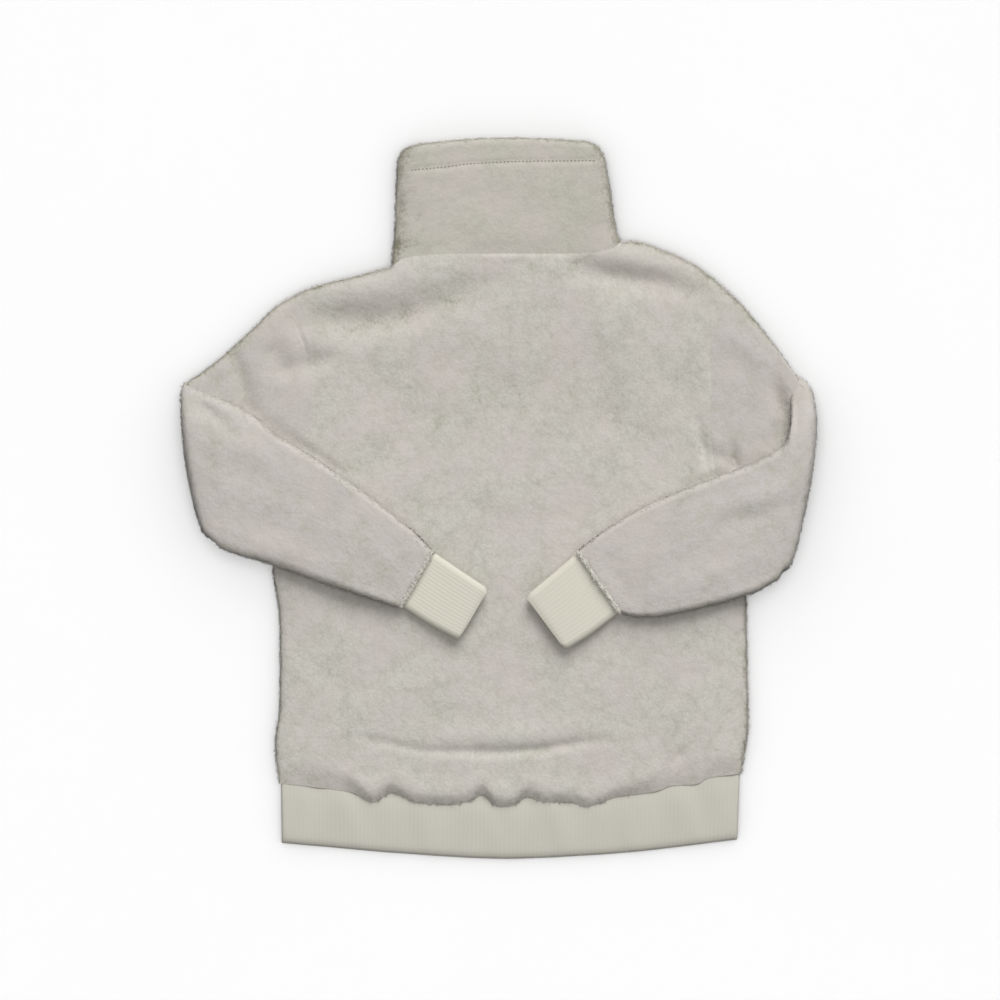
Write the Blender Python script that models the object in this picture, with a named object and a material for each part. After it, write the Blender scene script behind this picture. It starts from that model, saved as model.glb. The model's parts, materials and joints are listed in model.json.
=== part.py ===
# Sherpa fleece pullover laid flat, its back up, with both sleeves folded across it.
#
# Tables and named sizes are in millimetres. X runs across the garment, Y from the hem to the collar and Z up
# from the surface that it lies on. The origin is the middle of the outline, on that surface. "Left" is -X.

import functools
import math

import bmesh
import bpy
import numpy as np

MM = 0.001

# Cloth
FLEECE = 5.0  # sherpa knit with its pile
SEAM_GAP = 0.3
REST_GAP = 0.6  # a sleeve's clearance over what it lies on
LEAST_HOLLOW = 0.3
MOST_HOLLOW = 3.4
BODY_LOFT = 3.3  # air between the front and the back, in the middle
LOFT_CENTRE = (15, -30)
LOFT_REACH = (262, 330)
LOFT_SQUARENESS = 4  # how evenly the loft spreads before it falls off

# Rounded and sewn edges
ROUND_STEPS = (0.0, 2.0, 5.5, 11.0)  # distances in from an outline that carry a row of points
ROUND_WIDTH = 11.0
EDGE_THICKNESS = 0.9
HEM_EDGE_THICKNESS = 2.2
SEAM_DIP = 2.0
SEAM_DIP_WIDTH = 9.0
ARMHOLE_SHARE = 0.46  # part of a side's length, from the shoulder down, that is armhole
SHOULDER_SHARE = 0.25  # part of the top edge that is one shoulder
KIND_BLEND = 0.03  # share over which a seam turns into a rounded outline
ARMHOLE_GAP = 0.4
SEAM_RECESS = 3.0
NECK_GAP = 0.4
SHARP_ANGLE = math.radians(50)

# Ribbed knit
RIB_RAISE = 0.35
RIB_WALL = 3.2

# Points in each grid and ring
PANEL_WIDTH = 530.0
PANEL_LENGTH = 560.0
ARMHOLE_CORNER = 0.024  # shares of the armhole and of the neck that round over at each end
NECK_CORNER = 0.024
PLAIN_INSETS = (0.006, 0.008)  # shares across and down that a panel's plain face is drawn in by
PLAIN_STEP = 2
PLAIN_LOFT_SHARE = 0.4
SIDE_ROWS = 11
SLEEVE_COUNT = 12
COLLAR_COUNT = 20
COLLAR_FRONT_COUNT = 10
BACK_SHOULDER_COUNT = 7
FRONT_SHOULDER_COUNT = 3
SLEEVE_INNER_COUNT = 5
COLLAR_INNER_COUNT = 12
CUFF_INNER_COUNT = 5
HEM_INNER_COUNT = 17
INNER_CORNER = 1.5
SLEEVE_CORNER = 7.0
CUFF_CORNER = 5.0
CUFF_COUNT = 33  # two points a rib
HEM_COUNT = 223
HEM_PLAIN_COUNT = 25
ARMHOLE_FADE = 1.7
LAID_POSITIONS = (0, 0.12, 0.28, 0.6, 1, 1.5, 2, 2.5, 3)
FOLDED_POSITIONS = (0, 0.5, 1, 1.5, 2, 3, 4, 5, 6, 7, 7.7, 8.4, 9)

# Colours, linear
BODY_COLOUR = (0.52, 0.50, 0.42)
SLEEVE_COLOUR = (0.53, 0.51, 0.44)
COLLAR_COLOUR = (0.49, 0.47, 0.39)
CUFF_COLOUR = (0.60, 0.59, 0.49)
RIB_COLOUR = (0.52, 0.50, 0.41)

# Plan outlines, as (x, y)
SHOULDER_LEFT = ((-254, 218), (-232, 231), (-206, 242), (-158, 254), (-121, 264))
NECK = ((-121, 264), (-103, 275), (-66, 279), (8, 280), (82, 280), (124, 283), (140, 292))
SHOULDER_RIGHT = ((140, 292), (158, 293), (180, 286), (211, 273), (236, 258), (272, 227))
ARMHOLE_LEFT = ((-254, 218), (-237, 198), (-220, 165), (-215, 113), (-221, 67), (-237, 21), (-257, -18))
ARMHOLE_RIGHT = ((272, 227), (254, 203), (243, 172), (244, 120), (243, 70), (254, 14), (285, -36))
SIDE_LEFT = ((-257, -18), (-256, -78), (-252, -106), (-248, -139), (-248, -233), (-253, -280), (-249, -324))
SIDE_RIGHT = ((285, -36), (283, -111), (284, -196), (285, -256), (281, -289), (277, -313))
FLEECE_HEM = (
    (-249, -324),
    (-220, -327),
    (-180, -332),
    (-162, -336),
    (-142, -346),
    (-124, -335),
    (-110, -338),
    (-92, -347),
    (-50, -348),
    (-32, -345),
    (-17, -337),
    (-2, -350),
    (17, -350),
    (33, -339),
    (54, -346),
    (84, -346),
    (102, -352),
    (117, -348),
    (133, -340),
    (176, -334),
    (198, -327),
    (226, -325),
    (240, -318),
    (277, -313),
)
RIB_SEAM = ((-247, -313), (-120, -324), (15, -328), (150, -321), (275, -302))
RIB_HEM = ((-246, -392), (-189, -397), (-108, -404), (3, -410), (104, -406), (176, -400), (273, -388))
FRONT_NECK_DIP = 52.0  # the front neckline lies this much lower than the back one
NECK_DIP_FALL = 1.4  # above 1, the dip leaves the shoulders more gently than a sine does

# Creases and rolls of the laid cloth: half width, then points as (x, y, height)
CREASES = {
    "left_yoke_trough": (
        13,
        ((-214, 213, -1.5), (-150, 213, -4.5), (-110, 222, -5.0), (-54, 240, -3.5), (25, 261, -1.0)),
    ),
    "left_yoke_roll": (16, ((-205, 235, 0.5), (-130, 246, 2.5), (-60, 262, 1.5))),
    "right_yoke_trough": (11, ((94, 268, -2.0), (128, 259, -3.5), (180, 252, -3.0), (219, 243, -1.0))),
    "right_yoke_roll": (14, ((120, 277, 1.0), (180, 270, 1.5), (215, 258, 0.5))),
    "left_armhole_dent": (15, ((-236, 178, -2.5), (-205, 152, -3.0))),
    "left_sleeve_valley": (8, ((-299, 160, -3.5), (-289, 125, -3.0), (-281, 100, -3.0))),
    "right_shoulder_roll": (14, ((262, 190, 1.5), (300, 160, 2.0), (314, 130, 1.0))),
    "right_pocket": (9, ((312, 138, -1.0), (324, 116, -3.5), (329, 92, -4.0), (323, 70, -2.5))),
    "right_underarm_crease": (8, ((229, 78, -1.0), (234, 50, -2.5), (238, 24, -3.0))),
    "low_fold": (
        9,
        ((-155, -270, -1.5), (-85, -286, -2.5), (3, -286, -3.0), (84, -277, -2.5), (125, -274, -1.0)),
    ),
    "right_hip_crease": (7, ((207, -291, -1.5), (184, -317, -1.0))),
}

# A sleeve as it lies before its fold: upper x, y and lower x, y
LEFT_SLEEVE_LAID = (
    ((-290, 183), (-283, -30)),
    ((-322, 155), (-308, -40)),
)
RIGHT_SLEEVE_LAID = (
    ((294, 203), (305, -53)),
    ((320, 170), (318, -68)),
)
# The fold's own line: its ends, how far it bows outwards, and a skew that under 1 moves the bow's peak up
LEFT_FOLD = ((-352, 133), (-330, -46), 4.0, 1.0)
RIGHT_FOLD = ((331, 134), (322, -82), 21.0, 0.6)
FOLD_TURNS = (30, 70, 110, 150, 180)  # degrees
FOLD_THICKNESS = 10.6
FOLD_LIFT = 3.0  # room that the cloth's stiffness keeps inside the fold
FOLD_PINCH = 0.5  # how much tighter the fold turns at its two ends
FOLD_PINCH_SHARE = 0.06  # share of the fold's length over which that fades

# The hem rib's sections: share of the way down it, thickness. Its upper part lies under the fleece's edge.
HEM_SECTIONS = ((0.0, 4.4), (0.3, 4.6), (0.95, 6.6), (1.0, 4.4))

# A sleeve after its fold: upper x, y, lower x, y, lift over what it lies on, thickness, outward bow
LEFT_SLEEVE_FOLDED = (
    ((-340, 125), (-318, -50), 2.8, 11.5, 2.0),
    ((-322, 116), (-300, -60), 2.0, 12.5, 0.0),
    ((-287, 101), (-268, -71), 1.0, 13.5, 0.0),
    ((-253, 74), (-233, -83), 0.3, 14.5, 0.0),
    ((-209, 47), (-197, -96), 0.0, 15.0, 0.0),
    ((-177, 25), (-168, -106), 0.0, 15.0, 0.0),
    ((-140, -2), (-143, -114), 0.0, 14.0, 0.0),
    ((-101, -33), (-122, -121), 0.0, 13.5, 0.0),
    ((-80, -53), (-114, -123), 0.0, 13.0, 0.0),
    ((-73, -60), (-109, -122), 0.0, 11.4, 0.0),
)
RIGHT_SLEEVE_FOLDED = (
    ((334, 126), (316, -88), 2.8, 11.5, 17.0),
    ((340, 107), (312, -93), 2.4, 12.5, 11.0),
    ((338, 84), (304, -98), 1.8, 13.5, 8.0),
    ((324, 60), (294, -107), 0.8, 14.5, 4.0),
    ((288, 40), (268, -114), 0.2, 15.0, 0.0),
    ((237, 20), (231, -124), 0.0, 15.0, 0.0),
    ((180, -3), (186, -133), 0.0, 14.5, 0.0),
    ((135, -27), (158, -134), 0.0, 13.5, 0.0),
    ((98, -54), (142, -130), 0.0, 13.0, 0.0),
    ((90, -61), (138, -129), 0.0, 11.4, 0.0),
)
# A cuff: upper x, y, lower x, y, lift over what it lies on, thickness
LEFT_CUFF = (
    ((-72.7, -60.2), (-108.7, -122.2), 1.0, 9.4),
    ((-44, -80), (-78, -142), 0.5, 10.4),
    ((-14, -99.6), (-45, -159.6), 0.0, 10.0),
    ((-12, -101), (-43, -161), 0.3, 8.4),
)
RIGHT_CUFF = (
    ((89.7, -61.2), (137.7, -129.2), 1.0, 9.4),
    ((62, -85), (108, -152), 0.5, 10.4),
    ((35, -107.4), (79, -170.6), 0.0, 10.0),
    ((33, -109), (77, -172), 0.3, 8.4),
)
# The collar, from its seam up: left x, y, right x, y, bow of its middle, thickness, part of the front's dip
COLLAR = (
    ((-119, 284), (134, 310), 0.0, 11.5, 0.8),
    ((-117, 305), (131, 326), 1.0, 12.5, 0.5),
    ((-116, 335), (128, 350), 3.0, 13.0, 0.2),
    ((-115, 362), (124, 372), 5.0, 13.5, 0.0),
    ((-114.5, 377), (122, 384), 6.0, 13.0, 0.0),
    ((-114, 382), (121, 388), 6.0, 12.0, 0.0),
    ((-113, 387), (119, 393), 7.0, 13.0, 0.0),
    ((-109, 394), (115, 399), 8.0, 13.0, 0.0),
    ((-101, 400), (108, 404), 7.0, 11.0, 0.0),
    ((-88, 404), (97, 407), 5.0, 6.0, 0.0),
)


class Path:
    """A smooth curve through points, read by its share of the length."""

    STEPS = 12

    def __init__(self, points):
        rows = np.array(points, float)
        steps = (len(rows) - 1) * self.STEPS
        self.points = np.array([row_at(rows, step / self.STEPS) for step in range(steps + 1)])
        lengths = np.linalg.norm(np.diff(self.points, axis=0), axis=1)
        self.reached = np.concatenate([[0.0], np.cumsum(lengths)])

    def at(self, share):
        target = share * self.reached[-1]
        return np.array([np.interp(target, self.reached, column) for column in self.points.T])


def row_at(rows, position):
    """A table's row at a position that may lie between two rows, on a Catmull-Rom curve."""
    index = min(int(position), len(rows) - 2)
    share = position - index
    start, end = rows[index], rows[index + 1]
    before = rows[index - 1] if index > 0 else 2 * start - end
    after = rows[index + 2] if index + 2 < len(rows) else 2 * end - start
    square = 2 * before - 5 * start + 4 * end - after
    cube = 3 * start - before - 3 * end + after
    return start + 0.5 * ((end - before) * share + square * share**2 + cube * share**3)


def smooth_step(value):
    value = min(max(value, 0.0), 1.0)
    return value * value * (3 - 2 * value)


# ---- heights of the laid cloth


def crease_height(place, half_width, points):
    """Height of one crease at a place: a soft ridge or trough round its line."""
    nearest = math.inf
    height = 0.0
    for (x0, y0, h0), (x1, y1, h1) in zip(points, points[1:]):
        start = np.array((x0, y0))
        run = np.array((x1, y1)) - start
        share = min(max(np.dot(place - start, run) / np.dot(run, run), 0.0), 1.0)
        away = np.linalg.norm(place - start - run * share)
        if away < nearest:
            nearest = away
            height = h0 + (h1 - h0) * share
    return height * math.exp(-((nearest / half_width) ** 2))


def body_loft(place):
    """Air that the front and the back hold between them, most in the middle of the body."""
    sizes = zip(place, LOFT_CENTRE, LOFT_REACH)
    across, along = (min(abs(part - centre) / reach, 1.0) for part, centre, reach in sizes)
    return BODY_LOFT * (1 - across**LOFT_SQUARENESS) * (1 - along**LOFT_SQUARENESS)


def laid_top(place):
    """Height of the upper face of the two layers that lie on the surface."""
    creases = sum(crease_height(place, half_width, points) for half_width, points in CREASES.values())
    return 2 * FLEECE + SEAM_GAP + body_loft(place) + creases


def rounding(away, edge_thickness=EDGE_THICKNESS):
    """How far a panel's face curves in, this far from a rounded outline."""
    out = 1 - min(away / ROUND_WIDTH, 1.0)
    return (FLEECE - edge_thickness) * (1 - math.sqrt(1 - out * out))


def seam_dip(away):
    return SEAM_DIP * (1 - min(away / SEAM_DIP_WIDTH, 1.0)) ** 2


# ---- meshes


def finish_object(name, bm, material):
    bmesh.ops.recalc_face_normals(bm, faces=bm.faces)
    mesh = bpy.data.meshes.new(name)
    bm.to_mesh(mesh)
    bm.free()
    mesh.shade_smooth()
    mesh.set_sharp_from_angle(angle=SHARP_ANGLE)
    mesh.materials.append(material)
    piece = bpy.data.objects.new(name, mesh)
    bpy.context.scene.collection.objects.link(piece)
    return piece


def zip_loops(bm, loop_a, loop_b):
    """Joins two closed loops of (share round, vertex), which run the same way, with a band of triangles."""
    loop_a = loop_a + [(1.0, loop_a[0][1])]
    loop_b = loop_b + [(1.0, loop_b[0][1])]
    place_a = 0
    place_b = 0
    while place_a + place_b < len(loop_a) + len(loop_b) - 2:
        corner_a = loop_a[place_a][1]
        corner_b = loop_b[place_b][1]
        done_a = place_a == len(loop_a) - 1
        done_b = place_b == len(loop_b) - 1
        if done_b or (not done_a and loop_a[place_a + 1][0] <= loop_b[place_b + 1][0]):
            place_a += 1
            bm.faces.new((corner_a, loop_a[place_a][1], corner_b))
        else:
            place_b += 1
            bm.faces.new((corner_a, loop_b[place_b][1], corner_b))


def make_grid(bm, rows):
    """Faces over rows of points."""
    grid = [[bm.verts.new(point * MM) for point in row] for row in rows]
    for row, following in zip(grid, grid[1:]):
        for index in range(len(row) - 1):
            bm.faces.new((row[index], row[index + 1], following[index + 1], following[index]))
    return grid


def make_tube(name, outer, inner, material):
    """A wall between outer and inner rings of (share round, point), open at both ends."""
    bm = bmesh.new()
    ends = []
    for rings in (outer, inner):
        loops = [[(share, bm.verts.new(point * MM)) for share, point in ring] for ring in rings]
        for loop, following in zip(loops, loops[1:]):
            for index in range(len(loop)):
                before = index - 1
                bm.faces.new((loop[before][1], loop[index][1], following[index][1], following[before][1]))
        ends.append((loops[0], loops[-1]))
    zip_loops(bm, ends[0][0], ends[1][0])
    zip_loops(bm, ends[0][1], ends[1][1])
    return finish_object(name, bm, material)


# ---- flattened tubes


class Station:
    """One section of a flattened tube: where it lies, how thick it is and how far it has turned over."""

    def __init__(
        self,
        plan,
        base,
        thickness,
        turn=0.0,
        outward=(0.0, 0.0),
        wall=FLEECE,
        lower_dip=None,
        recess=(0.0, 0.0),
    ):
        self.plan = plan
        self.base = base
        self.thickness = thickness
        self.turn = turn
        self.outward = np.array(outward)
        self.wall = wall
        self.lower_dip = lower_dip
        self.recess = np.array(recess)  # how far the inner ring draws back from a seam
        self.width = np.linalg.norm(plan(1.0) - plan(0.0))

    def place(self, across, level):
        """A place across the section; the lower layer may dip towards the hem."""
        if self.lower_dip and level < 0:
            return self.plan(across) - np.array((0.0, self.lower_dip(across)))
        return self.plan(across)

    def hollow(self, thickness):
        return min(max(thickness - 2 * self.wall, LEAST_HOLLOW), MOST_HOLLOW)

    def outer_point(self, across, level):
        place = self.place(across, level)
        thickness = self.thickness(place)
        return self.turned(place, self.base(place) + thickness / 2, level * thickness / 2)

    def inner_point(self, across, level):
        inset = min((self.thickness(self.plan(0.5)) - LEAST_HOLLOW) / 2, self.wall) / self.width
        place = self.place(inset + (1 - 2 * inset) * across, level) + self.recess
        thickness = self.thickness(place)
        return self.turned(place, self.base(place) + thickness / 2, level * self.hollow(thickness) / 2)

    def turned(self, place, middle, reach):
        flat = place - self.outward * (reach * math.sin(self.turn))
        return np.array((flat[0], flat[1], middle + reach * math.cos(self.turn)))


def even_shares(corner, count):
    """Shares across a flattened tube, from one rounded corner to the other."""
    return [corner + (1 - 2 * corner) * index / (count - 1) for index in range(count)]


def ring_profile(corner, top_count, bottom_count):
    """Round a flattened tube: (share round, share across, level), out along its top and back below."""
    bend = corner * (1 - math.sqrt(0.5))
    level = math.sqrt(0.5)
    top = [(0.0, 0.0), (bend, level)]
    top += [(across, 1.0) for across in even_shares(corner, top_count)]
    top += [(1 - bend, level)]
    bottom = [(1.0, 0.0), (1 - bend, -level)]
    bottom += [(across, -1.0) for across in reversed(even_shares(corner, bottom_count))]
    bottom += [(bend, -level)]
    profile = [(across / 2, across, height) for across, height in top]
    return profile + [(1 - across / 2, across, height) for across, height in bottom]


def rib_raise(profile, thickness):
    """Raises every second point of a tube's upper run, and of its lower one where it has as many points."""
    lift = 1 + 2 * RIB_RAISE / thickness
    tops = sum(level == 1.0 for _, _, level in profile)
    bottoms = sum(level == -1.0 for _, _, level in profile)
    raised = []
    for index, (share, across, level) in enumerate(profile):
        if index % 2 and (level == 1.0 or (level == -1.0 and bottoms == tops)):
            level *= lift
        raised.append((share, across, level))
    return raised


def tube_rings(stations, top_count, bottom_count, inner_count, corner_width, ribs=False, first_corner=None):
    """The outer and inner rings of a flattened tube, each a list of (share round, point)."""
    outer = []
    inner = []
    for place, station in enumerate(stations):
        corner = corner_width / station.width
        if place == 0 and first_corner:
            corner = first_corner
        profile = ring_profile(corner, top_count, bottom_count)
        if ribs:
            profile = rib_raise(profile, station.thickness(station.plan(0.5)))
        outer.append([(share, station.outer_point(across, level)) for share, across, level in profile])
        profile = ring_profile(INNER_CORNER / station.width, inner_count, inner_count)
        inner.append([(share, station.inner_point(across, level)) for share, across, level in profile])
    return outer, inner


# ---- body panels


class Panel:
    """A body panel's plan, filled in smoothly from its four edges."""

    def __init__(self, neck, hem):
        ends = hem(0.0), hem(1.0)
        self.sides = (
            (Path(ARMHOLE_LEFT), Path(SIDE_LEFT[:-1] + (tuple(ends[0]),))),
            (Path(ARMHOLE_RIGHT), Path(SIDE_RIGHT[:-1] + (tuple(ends[1]),))),
        )
        self.shoulders = Path(SHOULDER_LEFT), Path(SHOULDER_RIGHT)
        self.neck = neck
        self.hem = hem

    @functools.cache
    def side(self, index, down):
        armhole, seam = self.sides[index]
        if down <= ARMHOLE_SHARE:
            return armhole.at(down / ARMHOLE_SHARE)
        return seam.at((down - ARMHOLE_SHARE) / (1 - ARMHOLE_SHARE))

    @functools.cache
    def top(self, across):
        if across <= SHOULDER_SHARE:
            return self.shoulders[0].at(across / SHOULDER_SHARE)
        if across < 1 - SHOULDER_SHARE:
            return self.neck((across - SHOULDER_SHARE) / (1 - 2 * SHOULDER_SHARE))
        return self.shoulders[1].at((across - 1 + SHOULDER_SHARE) / SHOULDER_SHARE)

    @functools.cache
    def bottom(self, across):
        return self.hem(across)

    def point(self, across, down):
        over = self.top(across) * (1 - down) + self.bottom(across) * down
        along = self.side(0, down) * (1 - across) + self.side(1, down) * across
        upper = self.top(0.0) * (1 - across) + self.top(1.0) * across
        lower = self.bottom(0.0) * (1 - across) + self.bottom(1.0) * across
        return over + along - upper * (1 - down) - lower * down

    def edge_drop(self, across, down):
        """How far the face curves in at a rounded outline, or dips at a seam with its neighbour."""
        place = self.point(across, down)
        from_side = min(np.linalg.norm(place - self.side(index, down)) for index in (0, 1))
        from_top = np.linalg.norm(place - self.top(across))
        side_kind = smooth_step((down - ARMHOLE_SHARE) / KIND_BLEND + 0.5)
        into_shoulder = max(SHOULDER_SHARE - across, across - 1 + SHOULDER_SHARE)
        top_kind = smooth_step(into_shoulder / KIND_BLEND + 0.5)
        rounded = max(side_kind * rounding(from_side), top_kind * rounding(from_top))
        sewn = max((1 - side_kind) * seam_dip(from_side), (1 - top_kind) * seam_dip(from_top))
        return rounded, sewn


def edge_shares(length):
    return [away / length for away in ROUND_STEPS]


def panel_rows():
    """Shares down a panel. In the armhole they match the sleeve's first ring."""
    top = edge_shares(PANEL_LENGTH)
    armhole = [ARMHOLE_SHARE * share for share in even_shares(ARMHOLE_CORNER, SLEEVE_COUNT)]
    bottom = [1 - share for share in reversed(top)]
    side_length = bottom[0] - ARMHOLE_SHARE
    side = [ARMHOLE_SHARE + side_length * index / SIDE_ROWS for index in range(SIDE_ROWS)]
    return sorted(set(top + armhole + side + bottom))


def panel_columns(neck_count, shoulder_count):
    """Shares across a panel. In the neck they match the collar's first ring."""
    start = edge_shares(PANEL_WIDTH)
    shoulder_length = SHOULDER_SHARE - start[-1]
    shoulder = [start[-1] + shoulder_length * index / shoulder_count for index in range(1, shoulder_count)]
    left = start + shoulder + [SHOULDER_SHARE]
    neck_share = 1 - 2 * SHOULDER_SHARE
    neck = [SHOULDER_SHARE + neck_share * share for share in even_shares(NECK_CORNER, neck_count)]
    return left + neck + [1 - share for share in reversed(left)]


def drawn_in(shares, inset):
    return [inset + (1 - 2 * inset) * share for share in shares]


def grid_loop(grid, columns, rows):
    """The vertices round a grid, as (share round, vertex)."""
    top = [(across / 4, vertex) for across, vertex in zip(columns, grid[0])]
    right = [((1 + down) / 4, row[-1]) for down, row in zip(rows, grid)]
    bottom = [((3 - across) / 4, vertex) for across, vertex in zip(reversed(columns), reversed(grid[-1]))]
    left = [((4 - down) / 4, row[0]) for down, row in zip(reversed(rows), reversed(grid))]
    return top[:-1] + right[:-1] + bottom[:-1] + left[:-1]


def make_panel(name, panel, columns, plain_columns, shaped_height, plain_height, material):
    """A panel between its shaped face and a plainer one with fewer points."""
    bm = bmesh.new()
    loops = []
    rows = panel_rows()
    plain_rows = rows[:-PLAIN_STEP:PLAIN_STEP] + rows[-1:]
    plain = drawn_in(plain_columns, PLAIN_INSETS[0]), drawn_in(plain_rows, PLAIN_INSETS[1])
    for height, across_shares, down_shares in ((shaped_height, columns, rows), (plain_height, *plain)):
        points = []
        for down in down_shares:
            row = [np.append(panel.point(across, down), height(across, down)) for across in across_shares]
            points.append(row)
        loops.append(grid_loop(make_grid(bm, points), across_shares, down_shares))
    zip_loops(bm, loops[0], loops[1])
    return finish_object(name, bm, material)


def back_panel():
    panel = Panel(Path(NECK).at, Path(FLEECE_HEM).at)

    def upper(across, down):
        place = panel.point(across, down)
        from_hem = np.linalg.norm(place - panel.bottom(across))
        return laid_top(place) - max(*panel.edge_drop(across, down), rounding(from_hem, HEM_EDGE_THICKNESS))

    def lower(across, down):
        return FLEECE + SEAM_GAP + PLAIN_LOFT_SHARE * body_loft(panel.point(across, down))

    columns = panel_columns(COLLAR_COUNT, BACK_SHOULDER_COUNT)
    plain_columns = panel_columns(COLLAR_FRONT_COUNT, FRONT_SHOULDER_COUNT)
    fleece = sherpa_fleece("back_fleece", BODY_COLOUR)
    return make_panel("back_panel", panel, columns, plain_columns, upper, lower, fleece)


def front_panel():
    neck = Path(NECK)

    def neckline(share):
        return neck.at(share) - np.array((0.0, neck_dip(share)))

    def hem(share):
        return Path(RIB_SEAM).at(share) + np.array((0.0, SEAM_GAP))

    panel = Panel(neckline, hem)
    columns = panel_columns(COLLAR_FRONT_COUNT, FRONT_SHOULDER_COUNT)
    fleece = sherpa_fleece("front_fleece", BODY_COLOUR)

    def lower(across, down):
        return panel.edge_drop(across, down)[0]

    def upper(across, down):
        return FLEECE

    return make_panel("front_panel", panel, columns, columns, lower, upper, fleece)


def neck_dip(share):
    """How much lower the front neckline lies than the back one."""
    return FRONT_NECK_DIP * math.sin(math.pi * min(max(share, 0.0), 1.0)) ** NECK_DIP_FALL


# ---- sleeves and cuffs


def outward_of(upper, lower, side):
    """The level direction away from the body, square to a line across the sleeve."""
    run = lower - upper
    return side * np.array((-run[1], run[0])) / np.linalg.norm(run)


def bowed(upper, lower, outward, bow, skew, across):
    return upper * (1 - across) + lower * across + outward * (bow * math.sin(math.pi * across**skew))


def laid_station(ends, armhole, fold, side, position):
    """The sleeve on its way from the armhole to the fold, flat on the surface."""
    row = row_at(ends, position)
    upper, lower = row[:2], row[2:]
    outward = outward_of(upper, lower, side)
    armhole_share = 1 - smooth_step(position / ARMHOLE_FADE)
    bow = fold[2] * smooth_step((position - 1) / (len(ends) - 2))
    dip = seam_dip(position * np.linalg.norm(ends[1, :2] - ends[0, :2]))
    seam = np.array((side * ARMHOLE_GAP, 0.0)) if position == 0 else np.zeros(2)

    def plan(across):
        straight = ends[0, :2] * (1 - across) + ends[0, 2:] * across
        curve = (armhole.at(across) - straight) * armhole_share
        return bowed(upper, lower, outward, bow, fold[3], across) + curve + seam

    recess = seam * (SEAM_RECESS / ARMHOLE_GAP)
    return Station(plan, lambda place: 0.0, lambda place: laid_top(place) - dip, recess=recess)


def fold_station(fold, side, turn):
    """The sleeve turning over at its fold."""
    upper, lower = np.array(fold[:2], float)
    bow, skew = fold[2:]
    outward = outward_of(upper, lower, side)
    radius = (2 * FLEECE + SEAM_GAP + FOLD_LIFT) / 2

    def plan(across):
        ends = math.exp(-across / FOLD_PINCH_SHARE) + math.exp((across - 1) / FOLD_PINCH_SHARE)
        reach = radius * math.sin(turn) * (1 - FOLD_PINCH * ends)
        return bowed(upper, lower, outward, bow, skew, across) + outward * reach

    base = radius * (1 - math.cos(turn))
    return Station(plan, lambda place: base, lambda place: FOLD_THICKNESS, turn, outward)


def folded_station(rows, skew, side, position):
    """The sleeve after its fold, lying on the body."""
    row = row_at(rows, position)
    upper, lower, lift, thickness, bow = row[:2], row[2:4], row[4], row[5], row[6]
    outward = outward_of(upper, lower, side)
    return Station(
        lambda across: bowed(upper, lower, outward, bow, skew, across),
        lambda place: laid_top(place) + REST_GAP + lift,
        lambda place: thickness,
        math.pi,
        outward,
    )


def flat_rows(table):
    """A table's rows as plain numbers, its points opened out."""
    return np.array([np.hstack([np.atleast_1d(part) for part in row]) for row in table], float)


def sleeve(name, side, armhole_points, laid, fold, folded):
    armhole = Path(armhole_points)
    ends = np.array([np.hstack([armhole.at(0.0), armhole.at(1.0)]), *flat_rows(laid), np.hstack(fold[:2])])
    rows = flat_rows(folded)
    stations = [laid_station(ends, armhole, fold, side, position) for position in LAID_POSITIONS]
    stations += [fold_station(fold, side, math.radians(turn)) for turn in FOLD_TURNS]
    stations += [folded_station(rows, fold[3], side, position) for position in FOLDED_POSITIONS]
    outer, inner = tube_rings(
        stations, SLEEVE_COUNT, SLEEVE_COUNT, SLEEVE_INNER_COUNT, SLEEVE_CORNER, first_corner=ARMHOLE_CORNER
    )
    return make_tube(name, outer, inner, sherpa_fleece(name + "_fleece", SLEEVE_COLOUR))


def cuff_station(row):
    upper, lower = np.array(row[:2], float)
    lift, thickness = row[2:]
    return Station(
        lambda across: upper * (1 - across) + lower * across,
        lambda place: laid_top(place) + REST_GAP + lift,
        lambda place: thickness,
        wall=RIB_WALL,
    )


def cuff(name, table):
    stations = [cuff_station(row) for row in table]
    outer, inner = tube_rings(stations, CUFF_COUNT, CUFF_COUNT, CUFF_INNER_COUNT, CUFF_CORNER, ribs=True)
    return make_tube(name, outer, inner, rib_knit(name + "_rib", CUFF_COLOUR))


# ---- hem and collar


def hem_rib():
    seam = Path(RIB_SEAM)
    edge = Path(RIB_HEM)

    def station(down, thickness):
        return Station(
            lambda across: seam.at(across) * (1 - down) + edge.at(across) * down,
            lambda place: 0.0,
            lambda place: thickness,
            wall=RIB_WALL,
            recess=(0.0, -SEAM_RECESS if down == 0 else 0.0),
        )

    stations = [station(*row) for row in HEM_SECTIONS]
    outer, inner = tube_rings(stations, HEM_COUNT, HEM_PLAIN_COUNT, HEM_INNER_COUNT, CUFF_CORNER, ribs=True)
    return make_tube("hem_rib", outer, inner, rib_knit("hem_rib_knit", RIB_COLOUR))


def collar_station(row):
    left, right = np.array(row[:2], float)
    bow, thickness, dip_share = row[2:]

    def plan(across):
        return left * (1 - across) + right * across + np.array((0.0, bow * math.sin(math.pi * across)))

    return Station(
        plan,
        lambda place: 0.0,
        lambda place: thickness,
        lower_dip=lambda share: dip_share * neck_dip(share),
    )


def collar():
    neck = Path(NECK)
    seam = Station(
        lambda across: neck.at(across) + np.array((0.0, NECK_GAP)),
        lambda place: 0.0,
        lambda place: laid_top(place) - SEAM_DIP,
        lower_dip=neck_dip,
        recess=(0.0, SEAM_RECESS),
    )
    stations = [seam] + [collar_station(row) for row in COLLAR]
    outer, inner = tube_rings(
        stations, COLLAR_COUNT, COLLAR_FRONT_COUNT, COLLAR_INNER_COUNT, SLEEVE_CORNER, first_corner=NECK_CORNER
    )
    return make_tube("collar", outer, inner, sherpa_fleece("collar_fleece", COLLAR_COLOUR))


# ---- materials


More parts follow.
